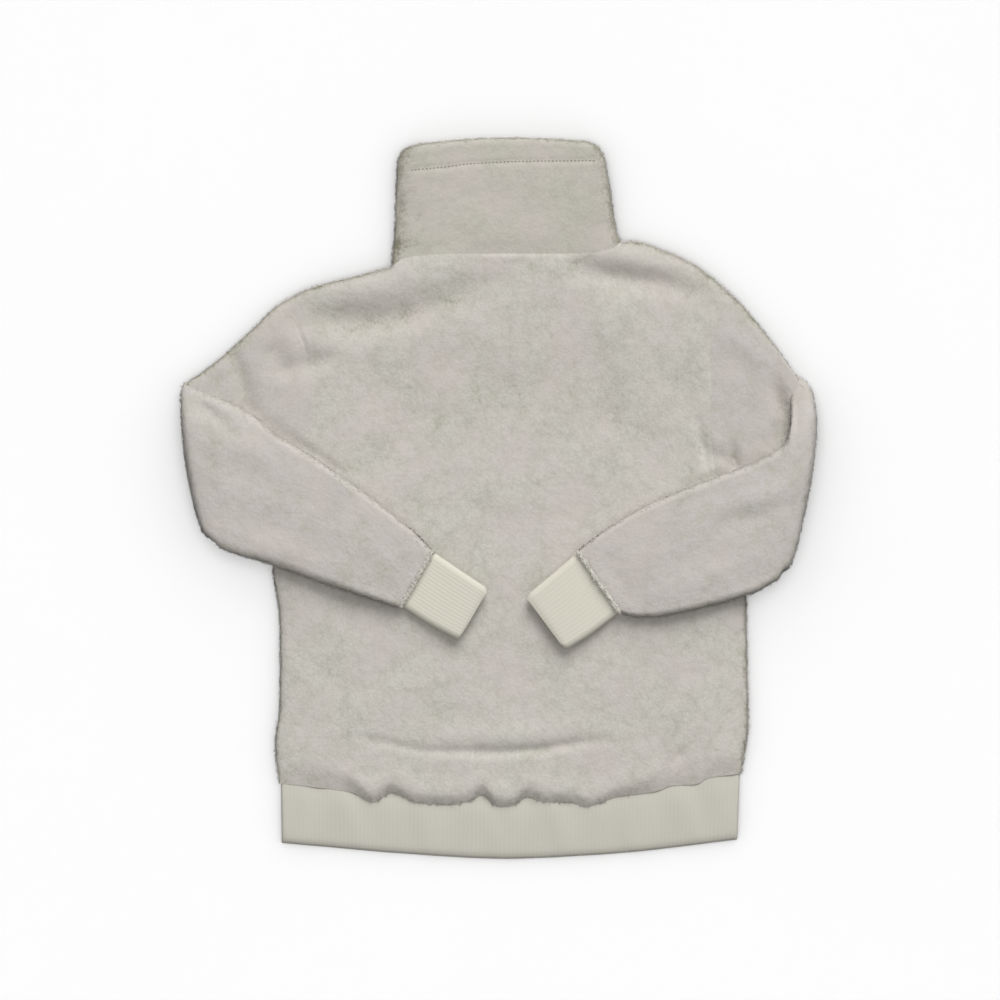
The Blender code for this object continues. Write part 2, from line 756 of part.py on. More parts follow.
def matt_knit(name, colour, roughness):
    material = bpy.data.materials.new(name)
    material.use_nodes = True
    shader = material.node_tree.nodes["Principled BSDF"]
    shader.inputs["Base Color"].default_value = (*colour, 1.0)
    shader.inputs["Roughness"].default_value = roughness
    shader.inputs["Metallic"].default_value = 0.0
    material.diffuse_color = (*colour, 1.0)
    return material


def sherpa_fleece(name, colour):
    return matt_knit(name, colour, 0.95)


def rib_knit(name, colour):
    return matt_knit(name, colour, 0.85)


def main():
    for piece in list(bpy.data.objects):
        bpy.data.objects.remove(piece)
    front_panel()
    back_panel()
    sleeve("sleeve_left", -1, ARMHOLE_LEFT, LEFT_SLEEVE_LAID, LEFT_FOLD, LEFT_SLEEVE_FOLDED)
    sleeve("sleeve_right", 1, ARMHOLE_RIGHT, RIGHT_SLEEVE_LAID, RIGHT_FOLD, RIGHT_SLEEVE_FOLDED)
    cuff("cuff_left", LEFT_CUFF)
    cuff("cuff_right", RIGHT_CUFF)
    hem_rib()
    collar()


main()
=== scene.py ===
import functools
import itertools
import json
import math

import bmesh
import bpy
import numpy as np
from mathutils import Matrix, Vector

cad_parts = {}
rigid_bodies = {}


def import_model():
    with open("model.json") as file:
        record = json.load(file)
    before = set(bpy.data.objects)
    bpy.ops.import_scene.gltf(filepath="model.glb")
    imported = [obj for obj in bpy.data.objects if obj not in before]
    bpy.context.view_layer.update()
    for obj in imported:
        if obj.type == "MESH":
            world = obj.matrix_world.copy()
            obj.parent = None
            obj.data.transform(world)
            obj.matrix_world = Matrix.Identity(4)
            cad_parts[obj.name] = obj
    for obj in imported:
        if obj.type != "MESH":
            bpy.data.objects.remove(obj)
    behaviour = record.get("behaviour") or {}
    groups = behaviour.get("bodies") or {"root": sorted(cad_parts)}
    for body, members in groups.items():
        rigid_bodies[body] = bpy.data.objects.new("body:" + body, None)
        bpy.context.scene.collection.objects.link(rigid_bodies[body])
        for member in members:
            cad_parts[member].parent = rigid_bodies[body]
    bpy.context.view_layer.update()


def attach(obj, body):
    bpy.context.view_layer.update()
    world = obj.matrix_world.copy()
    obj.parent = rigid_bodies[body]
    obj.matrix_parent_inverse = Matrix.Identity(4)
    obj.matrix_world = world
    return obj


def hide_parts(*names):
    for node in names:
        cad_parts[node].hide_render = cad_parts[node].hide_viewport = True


# Sherpa fleece pullover, laid flat with its back up and both sleeves folded over the back.
# Lengths in this script are millimetres until a mesh is made. X runs across the garment, Y from the
# hem to the collar and Z up from the floor. Left is -X.
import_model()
mm = 0.001
chance = np.random.default_rng(11)

cloth = {
    "fleece": 5.0,  # knit and pile
    "seamGap": 0.3,
    "restGap": 0.6,  # sleeve over what it lies on
    "loft": 3.3,  # air between front and back, in the middle
    "loftCentre": (15, -30),
    "loftReach": (262, 330),
    "step": 2.1,  # mesh spacing where a piece shows
    "shade": 0.075,  # painted shade: how much darker the pile is coloured for each millimetre of a hollow, and lighter on a roll
    "rim": 4.5,  # how far in from an outline the painted rim shade reaches
    "paintedRimShade": 1.4,
    "evenPile": 0.6,  # the pile on the flat, where 0 is a pit and 1 a tip
    "hollow": (0.3, 3.4),  # least and most height of the air inside a tube
}

# plan outlines, as (x, y)
outline = {
    "shoulderLeft": [(-254, 218), (-232, 231), (-206, 242), (-158, 254), (-121, 264)],
    "neck": [(-121, 264), (-103, 275), (-66, 279), (8, 280), (82, 280), (124, 283), (140, 292)],
    "shoulderRight": [(140, 292), (158, 293), (180, 286), (211, 273), (236, 258), (272, 227)],
    "armholeLeft": [(-254, 218), (-237, 198), (-220, 165), (-215, 113), (-221, 67), (-237, 21), (-257, -18)],
    "armholeRight": [(272, 227), (254, 203), (243, 172), (244, 120), (243, 70), (254, 14), (285, -36)],
    "sideLeft": [
        (-257, -18), (-256, -78), (-252, -106), (-248, -139), (-248, -233), (-253, -280), (-249, -324),
    ],
    "sideRight": [(285, -36), (283, -111), (284, -196), (285, -256), (281, -289), (277, -313)],
    "fleeceHem": [
        (-249, -324), (-220, -327), (-180, -332), (-162, -336), (-142, -346), (-124, -335), (-110, -338),
        (-92, -347), (-50, -348), (-32, -345), (-17, -337), (-2, -350), (17, -350), (33, -339), (54, -346),
        (84, -346), (102, -352), (117, -348), (133, -340), (176, -334), (198, -327), (226, -325),
        (240, -318), (277, -313),
    ],
    "ribSeam": [(-247, -313), (-120, -324), (15, -328), (150, -321), (276, -302)],
    "ribHem": [(-246, -392), (-189, -397), (-108, -404), (3, -410), (104, -406), (176, -400), (273, -388)],
}
frontNeck = {
    "dip": 52,  # the front neckline lies this much lower than the back one
    "roundness": 1.4,
}

# folds and rolls of the laid body: half width, then (x, y, height)
bodyCreases = {
    "leftYokeTrough": (18, [
        (-222, 205, -2.5), (-180, 203, -6.0), (-130, 203, -7.0), (-95, 212, -6.5), (-60, 226, -5.0),
        (-20, 243, -2.8), (25, 257, -1.0),
    ]),
    "leftYokeRoll": (17, [
        (-215, 234, 0.8), (-180, 240, 2.0), (-130, 247, 2.6), (-95, 254, 2.2), (-60, 264, 1.0),
    ]),
    "rightYokeTrough": (14, [(94, 262, -3.0), (128, 253, -6.0), (180, 246, -5.5), (219, 236, -2.0)]),
    "rightYokeRoll": (15, [(120, 277, 1.5), (180, 270, 2.5), (215, 258, 1.0)]),
    "leftArmholeDent": (12, [(-254, 166, -3.5), (-243, 148, -5.5)]),
    "leftBackDent": (13, [(-216, 154, -5.0), (-196, 158, -3.0)]),
    "leftSleeveValley": (7, [(-300, 162, -3.5), (-292, 138, -6.0), (-288, 122, -7.0), (-281, 100, -4.0)]),
    "rightShoulderRoll": (14, [(262, 190, 1.5), (300, 160, 2.0), (314, 130, 1.0)]),
    "lowFold": (6, [
        (-155, -272, -1.0), (-85, -287, -2.0), (3, -288, -2.8), (50, -285, -3.2), (84, -279, -2.4),
        (125, -274, -0.5),
    ]),
    "lowFoldRoll": (13, [(-85, -266, 0.6), (3, -270, 1.8), (50, -267, 1.8), (90, -260, 0.8)]),
    "rightHipCrease": (7, [(207, -291, -1.5), (184, -317, -1.0)]),
    "rightUnderarmRoll": (9, [(247, 66, 1.0), (255, 40, 1.5)]),
    "leftRibTrough": (12, [(-190, -20, -0.6), (-120, 60, -0.8), (-60, 150, -0.4)]),
    "rightBackTrough": (18, [(60, 215, -0.5), (110, 150, -1.0), (150, 70, -0.8)]),
    "rightBackRoll": (20, [(110, 220, 0.5), (160, 160, 1.0), (200, 90, 0.8)]),
    "upperBackHollow": (58, [(-110, 112, -2.4), (20, 118, -2.8), (150, 118, -2.2)]),
    "leftArmholeSeam": (3.0, [(-227, 195, -0.8), (-222, 180, -1.8), (-217, 166, -0.8)]),
    "neckSeam": (3.5, [(-30, 279, -0.3), (8, 280, -1.4), (82, 280, -1.4), (98, 281, -0.3)]),
}

# hollows that a folded sleeve bridges
hollows = {
    "rightPocket": (9, [
        (316, 134, -2.0), (319, 122, -5.5), (324, 106, -7.5), (326, 90, -7.5), (322, 74, -6.5),
        (313, 60, -3.0),
    ]),
    "rightSleeveHole": (4, [(267, 63, -2.0), (268.5, 53, -5.5), (269, 38, -6.0)]),
    "rightUnderarmHollow": (10, [(240, 54, -1.5), (252, 48, -3.5), (262, 42, -3.0)]),
    "rightUnderarmCrease": (6, [(228, 88, -1.5), (233, 62, -3.5), (238, 40, -1.5)]),
    "leftSleeveBed": (6, [
        (-300, 108, -1.5), (-285, 103, -3.0), (-252, 78, -3.0), (-208, 51, -2.5), (-175, 29, -1.5),
    ]),
    "rightSleeveBed": (6, [(300, 48, -1.0), (262, 32, -1.8), (216, 14, -1.2)]),
}


def hexToLinear(hexColour):
    parts = [int(hexColour[place:place + 2], 16) / 255 for place in (1, 3, 5)]
    return [part / 12.92 if part <= 0.04045 else ((part + 0.055) / 1.055) ** 2.4 for part in parts] + [1.0]


def rowsAt(rows, positions):
    # a table's rows at positions between them, on a Catmull-Rom curve
    rows = np.asarray(rows, float)
    positions = np.asarray(positions, float)
    index = np.clip(positions.astype(int), 0, len(rows) - 2)
    padded = np.concatenate([[2 * rows[0] - rows[1]], rows, [2 * rows[-1] - rows[-2]]])
    before, start, end, after = (padded[index + place] for place in range(4))
    share = (positions - index).reshape((-1,) + (1,) * (rows.ndim - 1))
    square = (2 * before - 5 * start + 4 * end - after) * share**2
    cube = (3 * start - before - 3 * end + after) * share**3
    return start + 0.5 * ((end - before) * share + (square + cube))


def lengthAlong(points):
    # how far along a line of points each one is, or along a grid's rings
    steps = np.linalg.norm(np.diff(points, axis=0), axis=-1)
    return np.concatenate([[0], np.cumsum(steps if steps.ndim == 1 else steps.mean(axis=1))])


def smoothLine(points):
    # a curve through points, read by shares of its length
    fine = rowsAt(points, np.linspace(0, len(points) - 1, 12 * (len(points) - 1) + 1))
    reached = lengthAlong(fine)
    reached = reached / reached[-1]
    return lambda shares: np.stack([np.interp(shares, reached, part) for part in fine.T], axis=-1)


def flat(height):
    return lambda place: np.full(len(place), height)


def smoothStep(value):
    value = np.clip(value, 0, 1)
    return value * value * (3 - 2 * value)


# the laid cloth's heights

def creaseHeight(place, halfWidth, line):
    # a soft ridge or trough round its line
    nearest = np.full(place.shape[:-1], 1e9)
    height = np.zeros(place.shape[:-1])
    for (x0, y0, h0), (x1, y1, h1) in zip(line, line[1:]):
        run = np.array((x1 - x0, y1 - y0))
        share = np.clip((place - (x0, y0)) @ run / (run @ run), 0, 1)
        away = np.linalg.norm(place - (x0, y0) - share[..., None] * run, axis=-1)
        closer = away < nearest
        nearest = np.where(closer, away, nearest)
        height = np.where(closer, h0 + (h1 - h0) * share, height)
    return height * np.exp(-((nearest / halfWidth) ** 2))


def creaseSum(place, creases):
    return sum(creaseHeight(place, halfWidth, line) for halfWidth, line in creases.values())


def bodyLoft(place):
    across, along = np.moveaxis(np.minimum(abs(place - cloth["loftCentre"]) / cloth["loftReach"], 1), -1, 0)
    return cloth["loft"] * (1 - across**4) * (1 - along**4)


def restTop(place):
    # what a folded sleeve rests on
    return 2 * cloth["fleece"] + cloth["seamGap"] + bodyLoft(place) + creaseSum(place, bodyCreases)


def laidTop(place):
    return restTop(place) + creaseSum(place, hollows)


def neckDip(shares):
    return frontNeck["dip"] * np.sin(np.pi * np.clip(shares, 0, 1)) ** frontNeck["roundness"]


# pile

pile = {
    "sizes": {  # width and height of each size of tuft, from matted patches down to single curls
        "matted": (17, 0.3),
        "clump": (8, 0.18),
        "curl": (4.6, 0.22),
    },
    "domeReach": 0.8,  # in widths
    "domeLift": 0.4,  # share of a dome that stands over the cloth's face
    "apart": 40,  # between the places that two sizes are scattered from
    # turn a cell's place into its centre's
    "scatter": np.array([(127.1, 269.5, 419.2), (311.7, 183.3, 371.9), (74.7, 246.1, 124.6)]),
    "scatterScale": 43758.5,
}


def curlDistance(points, size):
    # distance to the nearest of one scattered centre per cell, in cells
    cells = points / size
    corner = np.floor(cells)
    nearest = np.full(points.shape[:-1], 9.0)
    for step in itertools.product((-1, 0, 1), repeat=3):
        cell = corner + step
        mixed = np.sin(cell @ pile["scatter"]) * pile["scatterScale"]
        nearest = np.minimum(nearest, np.linalg.norm(cell + mixed - np.floor(mixed) - cells, axis=-1))
    return nearest


def pileHeight(points):
    # rounded domes of every size, one on another
    total = 0
    for number, (width, height) in enumerate(pile["sizes"].values()):
        away = curlDistance(points + pile["apart"] * number, width)
        total = total + height * (pile["domeLift"] - np.minimum(away / pile["domeReach"], 1) ** 2)
    return total


def softWaves(place, length, height):
    # unevenness of cloth that isn't pressed flat
    x, y = np.moveaxis(place / length, -1, 0)
    first = np.sin(2.1 * x + 1.3 * np.sin(1.7 * y))
    second = np.sin(2.9 * y + 1.9 * np.sin(1.3 * x + 0.7))
    return height * (first + second) / 2


def outwardNormals(grid, closed):
    run = np.roll(grid, -1, 1) - np.roll(grid, 1, 1) if closed else np.gradient(grid, axis=1)
    normal = np.cross(run, np.gradient(grid, axis=0))
    normal /= np.maximum(np.linalg.norm(normal, axis=-1, keepdims=True), 1e-9)
    away = grid - grid.mean(axis=1, keepdims=True) if closed else np.broadcast_to((0, 0, 1), grid.shape)
    return normal * np.sign((normal * away).sum(axis=-1).mean())


def pushPile(grid, closed, fromRim, amount=1.0):
    # grid moved out by its pile, and its colour value: 1 on a tip, 0 in a pit, and less near a rim, where
    # shade is painted
    height = pileHeight(grid) * amount
    raised = grid + outwardNormals(grid, closed) * height[..., None]
    raised[..., 2] = np.maximum(raised[..., 2], 0)
    # painted shade over an outline's rounding
    rimShade = np.exp(-fromRim / cloth["rim"])
    share = height / sum(size[1] for size in pile["sizes"].values())
    return raised, cloth["evenPile"] + share - cloth["paintedRimShade"] * rimShade


# meshes

sharpFrom = math.radians(62)
insideValue = 0.5  # of the pile on faces that don't show


def gridQuads(shape, closed, first=0):
    index = np.arange(shape[0] * shape[1]).reshape(shape[:2]) + first
    if closed:
        index = np.hstack([index, index[:, :1]])
    quads = np.stack([index[:-1, :-1], index[:-1, 1:], index[1:, 1:], index[1:, :-1]], axis=-1)
    return quads.reshape(-1, 4).tolist()


def zipLoops(loopA, loopB):
    # a band of triangles between two closed loops of (share round, point number)
    loopA = loopA + [(1.0, loopA[0][1])]
    loopB = loopB + [(1.0, loopB[0][1])]
    placeA = placeB = 0
    band = []
    while placeA + placeB < len(loopA) + len(loopB) - 2:
        corners = [loopA[placeA][1], loopB[placeB][1]]
        endA = placeA == len(loopA) - 1
        endB = placeB == len(loopB) - 1
        if endB or (not endA and loopA[placeA + 1][0] <= loopB[placeB + 1][0]):
            placeA += 1
            band.append([corners[0], loopA[placeA][1], corners[1]])
        else:
            placeB += 1
            band.append([corners[0], loopB[placeB][1], corners[1]])
    return band


def makePiece(name, points, faces, material, values=None, uv=None):
    mesh = bpy.data.meshes.new(name)
    mesh.from_pydata((points * mm).tolist(), [], faces)
    solid = bmesh.new()
    solid.from_mesh(mesh)
    bmesh.ops.recalc_face_normals(solid, faces=solid.faces)
    solid.to_mesh(mesh)
    solid.free()
    mesh.shade_smooth()
    mesh.set_sharp_from_angle(angle=sharpFrom)
    if values is not None:
        mesh.attributes.new("pileHeight", "FLOAT", "POINT").data.foreach_set("value", values)
    if uv is not None:
        corners = np.zeros(len(mesh.loops), int)
        mesh.loops.foreach_get("vertex_index", corners)
        mesh.uv_layers.new(name="ribs").data.foreach_set("uv", uv[corners].ravel())
    mesh.materials.append(material)
    piece = bpy.data.objects.new(name, mesh)
    bpy.context.scene.collection.objects.link(piece)
    return piece


def evenPositions(rings, step):
    # positions along a table's rows, a step apart
    reached = lengthAlong(rings)
    count = max(int(reached[-1] / step), 2)
    return np.interp(np.linspace(0, reached[-1], count + 1), reached, np.arange(len(rings)))


# flattened tubes: a ring runs out along the top (level above 0) and back along the bottom

def ringShares(topCount, bottomCount, cornerShare, steps=5):
    # (share round, share across, level) with the two sides rounded over
    turn = np.linspace(0, math.pi / 2, steps + 1)[:-1]
    corner = cornerShare * (1 - np.cos(turn))
    level = np.sin(turn)
    topEven = np.linspace(cornerShare, 1 - cornerShare, topCount)
    bottomEven = np.linspace(cornerShare, 1 - cornerShare, bottomCount)
    across = np.concatenate([
        corner, topEven, 1 - corner[::-1], 1 - corner[1:], bottomEven[::-1], corner[:0:-1],
    ])
    height = np.concatenate([
        level, np.ones(topCount), level[::-1], -level[1:], -np.ones(bottomCount), -level[:0:-1],
    ])
    half = len(corner) * 2 + topCount
    share = across / 2
    share[half:] = 1 - share[half:]
    return share, across, height


def section(plan, base, thickness, turn=0.0, outward=(0, 0), lowerDip=None, recess=(0, 0), wall=None):
    return {
        "plan": plan, "base": base, "thickness": thickness, "turn": turn, "outward": np.array(outward),
        "lowerDip": lowerDip, "recess": np.array(recess), "wall": wall or cloth["fleece"],
    }


def placed(part, across, level, insetShare=0.0):
    place = part["plan"](insetShare + (1 - 2 * insetShare) * across)
    if part["lowerDip"]:
        place = place - np.outer(part["lowerDip"](across) * smoothStep(0.5 - level / 2), (0, 1))
    return place


def turnedPoints(part, place, middle, reach):
    flat = place - np.outer(reach * math.sin(part["turn"]), part["outward"])
    return np.column_stack([flat, middle + reach * math.cos(part["turn"])])


def outerRing(part, across, level):
    place = placed(part, across, level)
    thickness = part["thickness"](place)
    return turnedPoints(part, place, part["base"](place) + thickness / 2, level * thickness / 2)


def innerRing(part, across, level):
    width = np.linalg.norm(part["plan"](np.array([1.0])) - part["plan"](np.array([0.0])))
    place = placed(part, across, level, min(part["wall"] / width, 0.4)) + part["recess"]
    thickness = part["thickness"](place)
    hollow = np.clip(thickness - 2 * part["wall"], *cloth["hollow"])
    return turnedPoints(part, place, part["base"](place) + thickness / 2, level * hollow / 2)


def outsideTube(parts, step, *ringSizes):
    # the outside of a tube: its shares round and across, its levels, its rings' positions and its grid
    share, across, level = ringShares(*ringSizes)
    rings = np.stack([outerRing(part, across, level) for part in parts])
    positions = evenPositions(rings, step)
    return share, across, level, positions, rowsAt(rings, positions)


def insideTube(parts, count, cornerShare):
    # the inside of a tube: its shares round, its shares across and a ring for each part
    share, across, level = ringShares(count, count, cornerShare, 2)
    return share, across, np.stack([innerRing(part, across, level) for part in parts])


def sparseInside(parts, count, cornerShare, positions):
    share, _, rings = insideTube(parts, count, cornerShare)
    return share, np.concatenate([rowsAt(rings, positions), rings[-1:]])


def tubePiece(name, outer, outerShare, inner, innerShare, material, values=None, uv=None):
    points = np.concatenate([outer.reshape(-1, 3), inner.reshape(-1, 3)])
    first = outer.shape[0] * outer.shape[1]
    faces = gridQuads(outer.shape, True) + gridQuads(inner.shape, True, first)
    for row in (0, -1):
        outerIndex = np.arange(outer.shape[1]) + (0 if row == 0 else first - outer.shape[1])
        innerIndex = np.arange(inner.shape[1]) + (first if row == 0 else len(points) - inner.shape[1])
        loops = [sorted(zip(share.tolist(), index.tolist()))
                 for share, index in ((outerShare, outerIndex), (innerShare, innerIndex))]
        faces += zipLoops(*loops)
    if values is not None:
        values = np.concatenate([values.ravel(), np.full(len(points) - first, insideValue)])
    if uv is not None:
        uv = np.concatenate([uv.reshape(-1, 2), uv.reshape(-1, 2)[:1].repeat(len(points) - first, 0)])
    return makePiece(name, points, faces, material, values, uv)


# materials

def addNode(tree, kind, settings=None):
    # one node: a setting is a property or an input, and an input's value may be another node or its output
    node = tree.nodes.new("ShaderNode" + kind)
    for key, value in (settings or {}).items():
        if isinstance(value, bpy.types.Node):
            value = value.outputs[0]
        if isinstance(value, bpy.types.NodeSocket):
            tree.links.new(value, node.inputs[key])
        elif isinstance(key, str) and hasattr(node, key):
            setattr(node, key, value)
        else:
            node.inputs[key].default_value = value
    return node


def newMaterial(name):
    material = bpy.data.materials.new(name)
    material.use_nodes = True
    material.node_tree.nodes.clear()
    return material, functools.partial(addNode, material.node_tree)


def addMath(add, operation, *values):
    return add("Math", {"operation": operation, **dict(enumerate(values))})


def addRange(add, source, low, high, start=0.0, end=1.0):
    ends = {"From Min": low, "From Max": high, "To Min": start, "To Max": end}
    return add("MapRange", {"Value": source, **ends})


def addNoise(add, size, detail=3.0, distortion=0.0):
    # a noise with spots of this size, in the cloth's own place
    place = add("TexCoord").outputs["Object"]
    settings = {"Vector": place, "Scale": 1 / (size * mm), "Detail": detail, "Distortion": distortion}
    return add("TexNoise", settings)


def mixColours(add, share, first, second):
    first, second = (hexToLinear(colour) if isinstance(colour, str) else colour for colour in (first, second))
    return add("Mix", {"data_type": "RGBA", 0: share, 6: first, 7: second}).outputs[2]


def addSurface(add, colour, reliefFrom, strength, relief, settings):
    # relief is a height in millimetres
    bump = add("Bump", {"Height": reliefFrom, "Strength": strength, "Distance": relief * mm})
    shader = add("BsdfPrincipled", {"Base Color": colour, "Normal": bump, "IOR": 1.5, **settings})
    add("OutputMaterial", {"Surface": shader})


# Brushed and curled polyester sherpa knit: matt, with soft light tips and painted shade in the pits between
# the curls
fleeceLook = {
    "tip": "#c3c0b8",
    "pit": "#b1aea3",
    "base": "#7e7b69",  # painted shade: the dark colour near rims and in hollows
    "warm": "#c5bcb7",
    "warmth": 0.45,
    "wander": 6,  # width of the bends in the rows of curls
    "bend": 0.003,
    "curl": 3.0,  # width of the smallest curls
    "fibre": 1.4,  # a real one is 0.02, too fine to show
    "patch": 55,
    "relief": 0.5,
    "surface": {
        "Roughness": 0.95, "Specular IOR Level": 0.12,
        "Sheen Weight": 0.2, "Sheen Roughness": 0.6, "Sheen Tint": hexToLinear("#f2efe6"),
    },
}


def sherpaFleece(name, tip=fleeceLook["tip"], warmth=fleeceLook["warmth"]):
    look = fleeceLook
    material, add = newMaterial(name)
    place = add("TexCoord").outputs["Object"]
    wander = addNoise(add, look["wander"], 2.0).outputs["Color"]
    bent = add("Mix", {"data_type": "VECTOR", "Factor": look["bend"], 4: place, 5: wander}).outputs[1]
    curl = add("TexVoronoi", {"feature": "SMOOTH_F1", "Vector": bent, "Scale": 1 / (look["curl"] * mm),
                              "Smoothness": 0.4})
    fibre = addNoise(add, look["fibre"], distortion=0.6)
    fine = addMath(add, "MULTIPLY_ADD", fibre, 0.45, addRange(add, curl, 0.1, 0.75, 1.0, 0.0))
    # the pile's value carries painted shade: darker in pits, near rims and in hollows, and lighter on rolls
    height = add("Attribute", {"attribute_name": "pileHeight"}).outputs["Fac"]
    depth = addMath(add, "MULTIPLY_ADD", fine, 0.55, height)
    # painted shade: the base colour where the value is lowest, then the pit colour
    shadeColour = mixColours(add, addRange(add, depth, -0.5, 0.35), look["base"], look["pit"])
    colour = mixColours(add, addRange(add, depth, 0.35, 1.25), shadeColour, tip)
    spread = addRange(add, addNoise(add, look["patch"]), 0.4, 0.65, 0.0, warmth)
    tinted = mixColours(add, spread, colour, look["warm"])
    addSurface(add, tinted, fine, 0.3, look["relief"], look["surface"])
    return material


# Knitted acrylic rib: smoother than the fleece, with fine stitches running up each rib
ribLook = {
    "hem": ("#bbb8ac", "#bfbcb1"),  # groove and ridge: the darker groove is painted shade
    "cuff": ("#cac7b9", "#cecbbd"),
    "stitch": 2.4,  # a real one is 1.5, too fine to show
    "stitchSlant": 1.6,
    "fibre": 1.2,
    "relief": 0.3,
    "surface": {"Roughness": 0.85, "Specular IOR Level": 0.2, "Sheen Weight": 0.12, "Sheen Roughness": 0.5},
}


def ribKnit(name, pitch, colours):
    look = ribLook
    material, add = newMaterial(name)
    split = add("SeparateXYZ", {"Vector": add("UVMap", {"uv_map": "ribs"})})
    within = addMath(add, "PINGPONG", addMath(add, "DIVIDE", split, pitch), 0.5)
    rise = addMath(add, "DIVIDE", split.outputs[1], look["stitch"])
    chevron = addMath(add, "PINGPONG", addMath(add, "MULTIPLY_ADD", within, look["stitchSlant"], rise), 0.5)
    stitches = addMath(add, "MULTIPLY_ADD", addNoise(add, look["fibre"]), 0.7, chevron)
    # painted shade in the grooves between ribs
    shade = addMath(add, "MULTIPLY_ADD", within, 0.9, stitches)
    colour = mixColours(add, addRange(add, shade, 0.3, 1.1), *colours)
    addSurface(add, colour, stitches, 0.25, look["relief"], look["surface"])
    return material


fleeceMaterial = sherpaFleece("bodySherpaFleece")
# darker copies of the body's fleece: painted shade on the same cloth, with the sleeves' tip a little pinker
# too
sleeveMaterial = sherpaFleece("sleeveSherpaFleece", "#beb9b4")
collarMaterial = sherpaFleece("collarSherpaFleece", "#bcb9ad")


# body panels

panelShape = {
    "width": 530,
    "length": 600,
    "armholeShare": 0.46,  # part of a side, from the shoulder down
    "shoulderShare": 0.25,  # part of the top edge
    "kindBlend": 0.03,
    "roundWidth": 10.0,  # how far an outline's rounding reaches in
    "edgeThickness": 0.9,
    "edgeRows": [0, 0.7, 1.8, 3.4, 5.4],  # of mesh, in from an outline
    "plushWidth": 30.0,  # how far in the pile starts to fall towards the outline
    "plushDrop": 2.2,
    "seamDip": 0.3,
    "seamDipWidth": 5.0,
    "closedSeam": 60,  # added to a seam's distance from a rim, which keeps the painted rim shade off it
    "leftRim": 5,  # how many times narrower the painted rim shade is on the left side
    "hemFall": 4.6,  # how far the fleece falls to the rib
    "hemFallWidth": (13, 34),  # over what length, in the middle and at the two sides
    "hemRoll": (17, 13, 1.6),  # a roll along the hem: how far in, half its width, its height
    "hemRollSpan": (0.10, 0.2, 0.72, 0.9),  # shares across where it starts, is full, is full still and ends
    "waves": (38, 0.6),
    "wavesFrom": 25,
    "frontStep": 5.0,
    "frontPile": 0.5,  # pressed by what lies on it
    "leastWall": 2.5,  # of the back panel, under the deepest hollow
    "plainLoft": 0.4,
    "plainCount": (64, 70),
    "plainInset": (0.006, 0.008),
}


def panelPlan(neck, hem, across, down):
    # a panel's plan filled in from its four edges, and its distances from them
    shape = panelShape
    ends = hem(np.array([0.0, 1.0]))

    def sideLine(armhole, seam, end):
        armholeLine = smoothLine(outline[armhole])
        seamLine = smoothLine(outline[seam][:-1] + [tuple(end)])
        upper = armholeLine(down / shape["armholeShare"])
        lower = seamLine((down - shape["armholeShare"]) / (1 - shape["armholeShare"]))
        return np.where((down <= shape["armholeShare"])[:, None], upper, lower)

    left = sideLine("armholeLeft", "sideLeft", ends[0])
    right = sideLine("armholeRight", "sideRight", ends[1])
    share = shape["shoulderShare"]
    top = np.select(
        [(across <= share)[:, None], (across < 1 - share)[:, None]],
        [smoothLine(outline["shoulderLeft"])(across / share), neck((across - share) / (1 - 2 * share))],
        smoothLine(outline["shoulderRight"])((across - 1 + share) / share),
    )
    bottom = hem(across)
    a = across[None, :, None]
    d = down[:, None, None]
    plan = top * (1 - d) + bottom * d + left[:, None] * (1 - a) + right[:, None] * a
    plan = plan - (top[0] * (1 - a) + top[-1] * a) * (1 - d) - (bottom[0] * (1 - a) + bottom[-1] * a) * d
    fromSide = np.minimum(*(np.linalg.norm(plan - side[:, None], axis=-1) for side in (left, right)))
    fromTop = np.linalg.norm(plan - top, axis=-1)
    fromHem = np.linalg.norm(plan - bottom, axis=-1)
    return plan, fromSide, fromTop, fromHem


def rounding(away, width, edgeThickness):
    out = 1 - np.minimum(away / width, 1)
    return (cloth["fleece"] - edgeThickness) * (1 - np.sqrt(1 - out * out))


def plushFall(away):
    return panelShape["plushDrop"] * (1 - np.minimum(away / panelShape["plushWidth"], 1)) ** 2


def hemEdge(across, fromHem):
    # the fleece gathered by the rib bulges over it in the middle and lies flush at the two sides:
    # how far it falls, and how high it bulges
    start, full, last, end = panelShape["hemRollSpan"]
    middle, halfWidth, height = panelShape["hemRoll"]
    span = smoothStep((across - start) / (full - start)) * smoothStep((end - across) / (end - last))
    narrow, wide = panelShape["hemFallWidth"]
    width = wide + (narrow - wide) * span
    fall = panelShape["hemFall"] * (1 - np.sin(math.pi / 2 * np.minimum(fromHem / width, 1)))
    return fall, height * span * np.exp(-(((fromHem - middle) / halfWidth) ** 2))


def edgeDrop(across, down, fromSide, fromTop):
    # where a face curves in at the outline, and where it dips to a seam
    shape = panelShape
    dip = lambda away: shape["seamDip"] * (1 - smoothStep(away / shape["seamDipWidth"]))
    sideKind = smoothStep((down - shape["armholeShare"]) / shape["kindBlend"] + 0.5)[:, None]
    intoShoulder = np.maximum(shape["shoulderShare"] - across, across - 1 + shape["shoulderShare"])
    topKind = smoothStep(intoShoulder / shape["kindBlend"] + 0.5)[None, :]
    roundSide, roundTop = (rounding(away, shape["roundWidth"], shape["edgeThickness"]) + plushFall(away)
                           for away in (fromSide, fromTop))
    rounded = np.maximum(sideKind * roundSide, topKind * roundTop)
    sewn = np.maximum((1 - sideKind) * dip(fromSide), (1 - topKind) * dip(fromTop))
    return rounded, sewn


def panelShares(length, step):
    # even shares, closer together where the outline rounds over
    edge = np.array(panelShape["edgeRows"]) / length
    first, last = edge[-1] + step / length, 1 - edge[-1] - step / length
    middle = np.linspace(first, last, int(length * (1 - 2 * edge[-1]) / step))
    return np.concatenate([edge, middle, 1 - edge[::-1]])


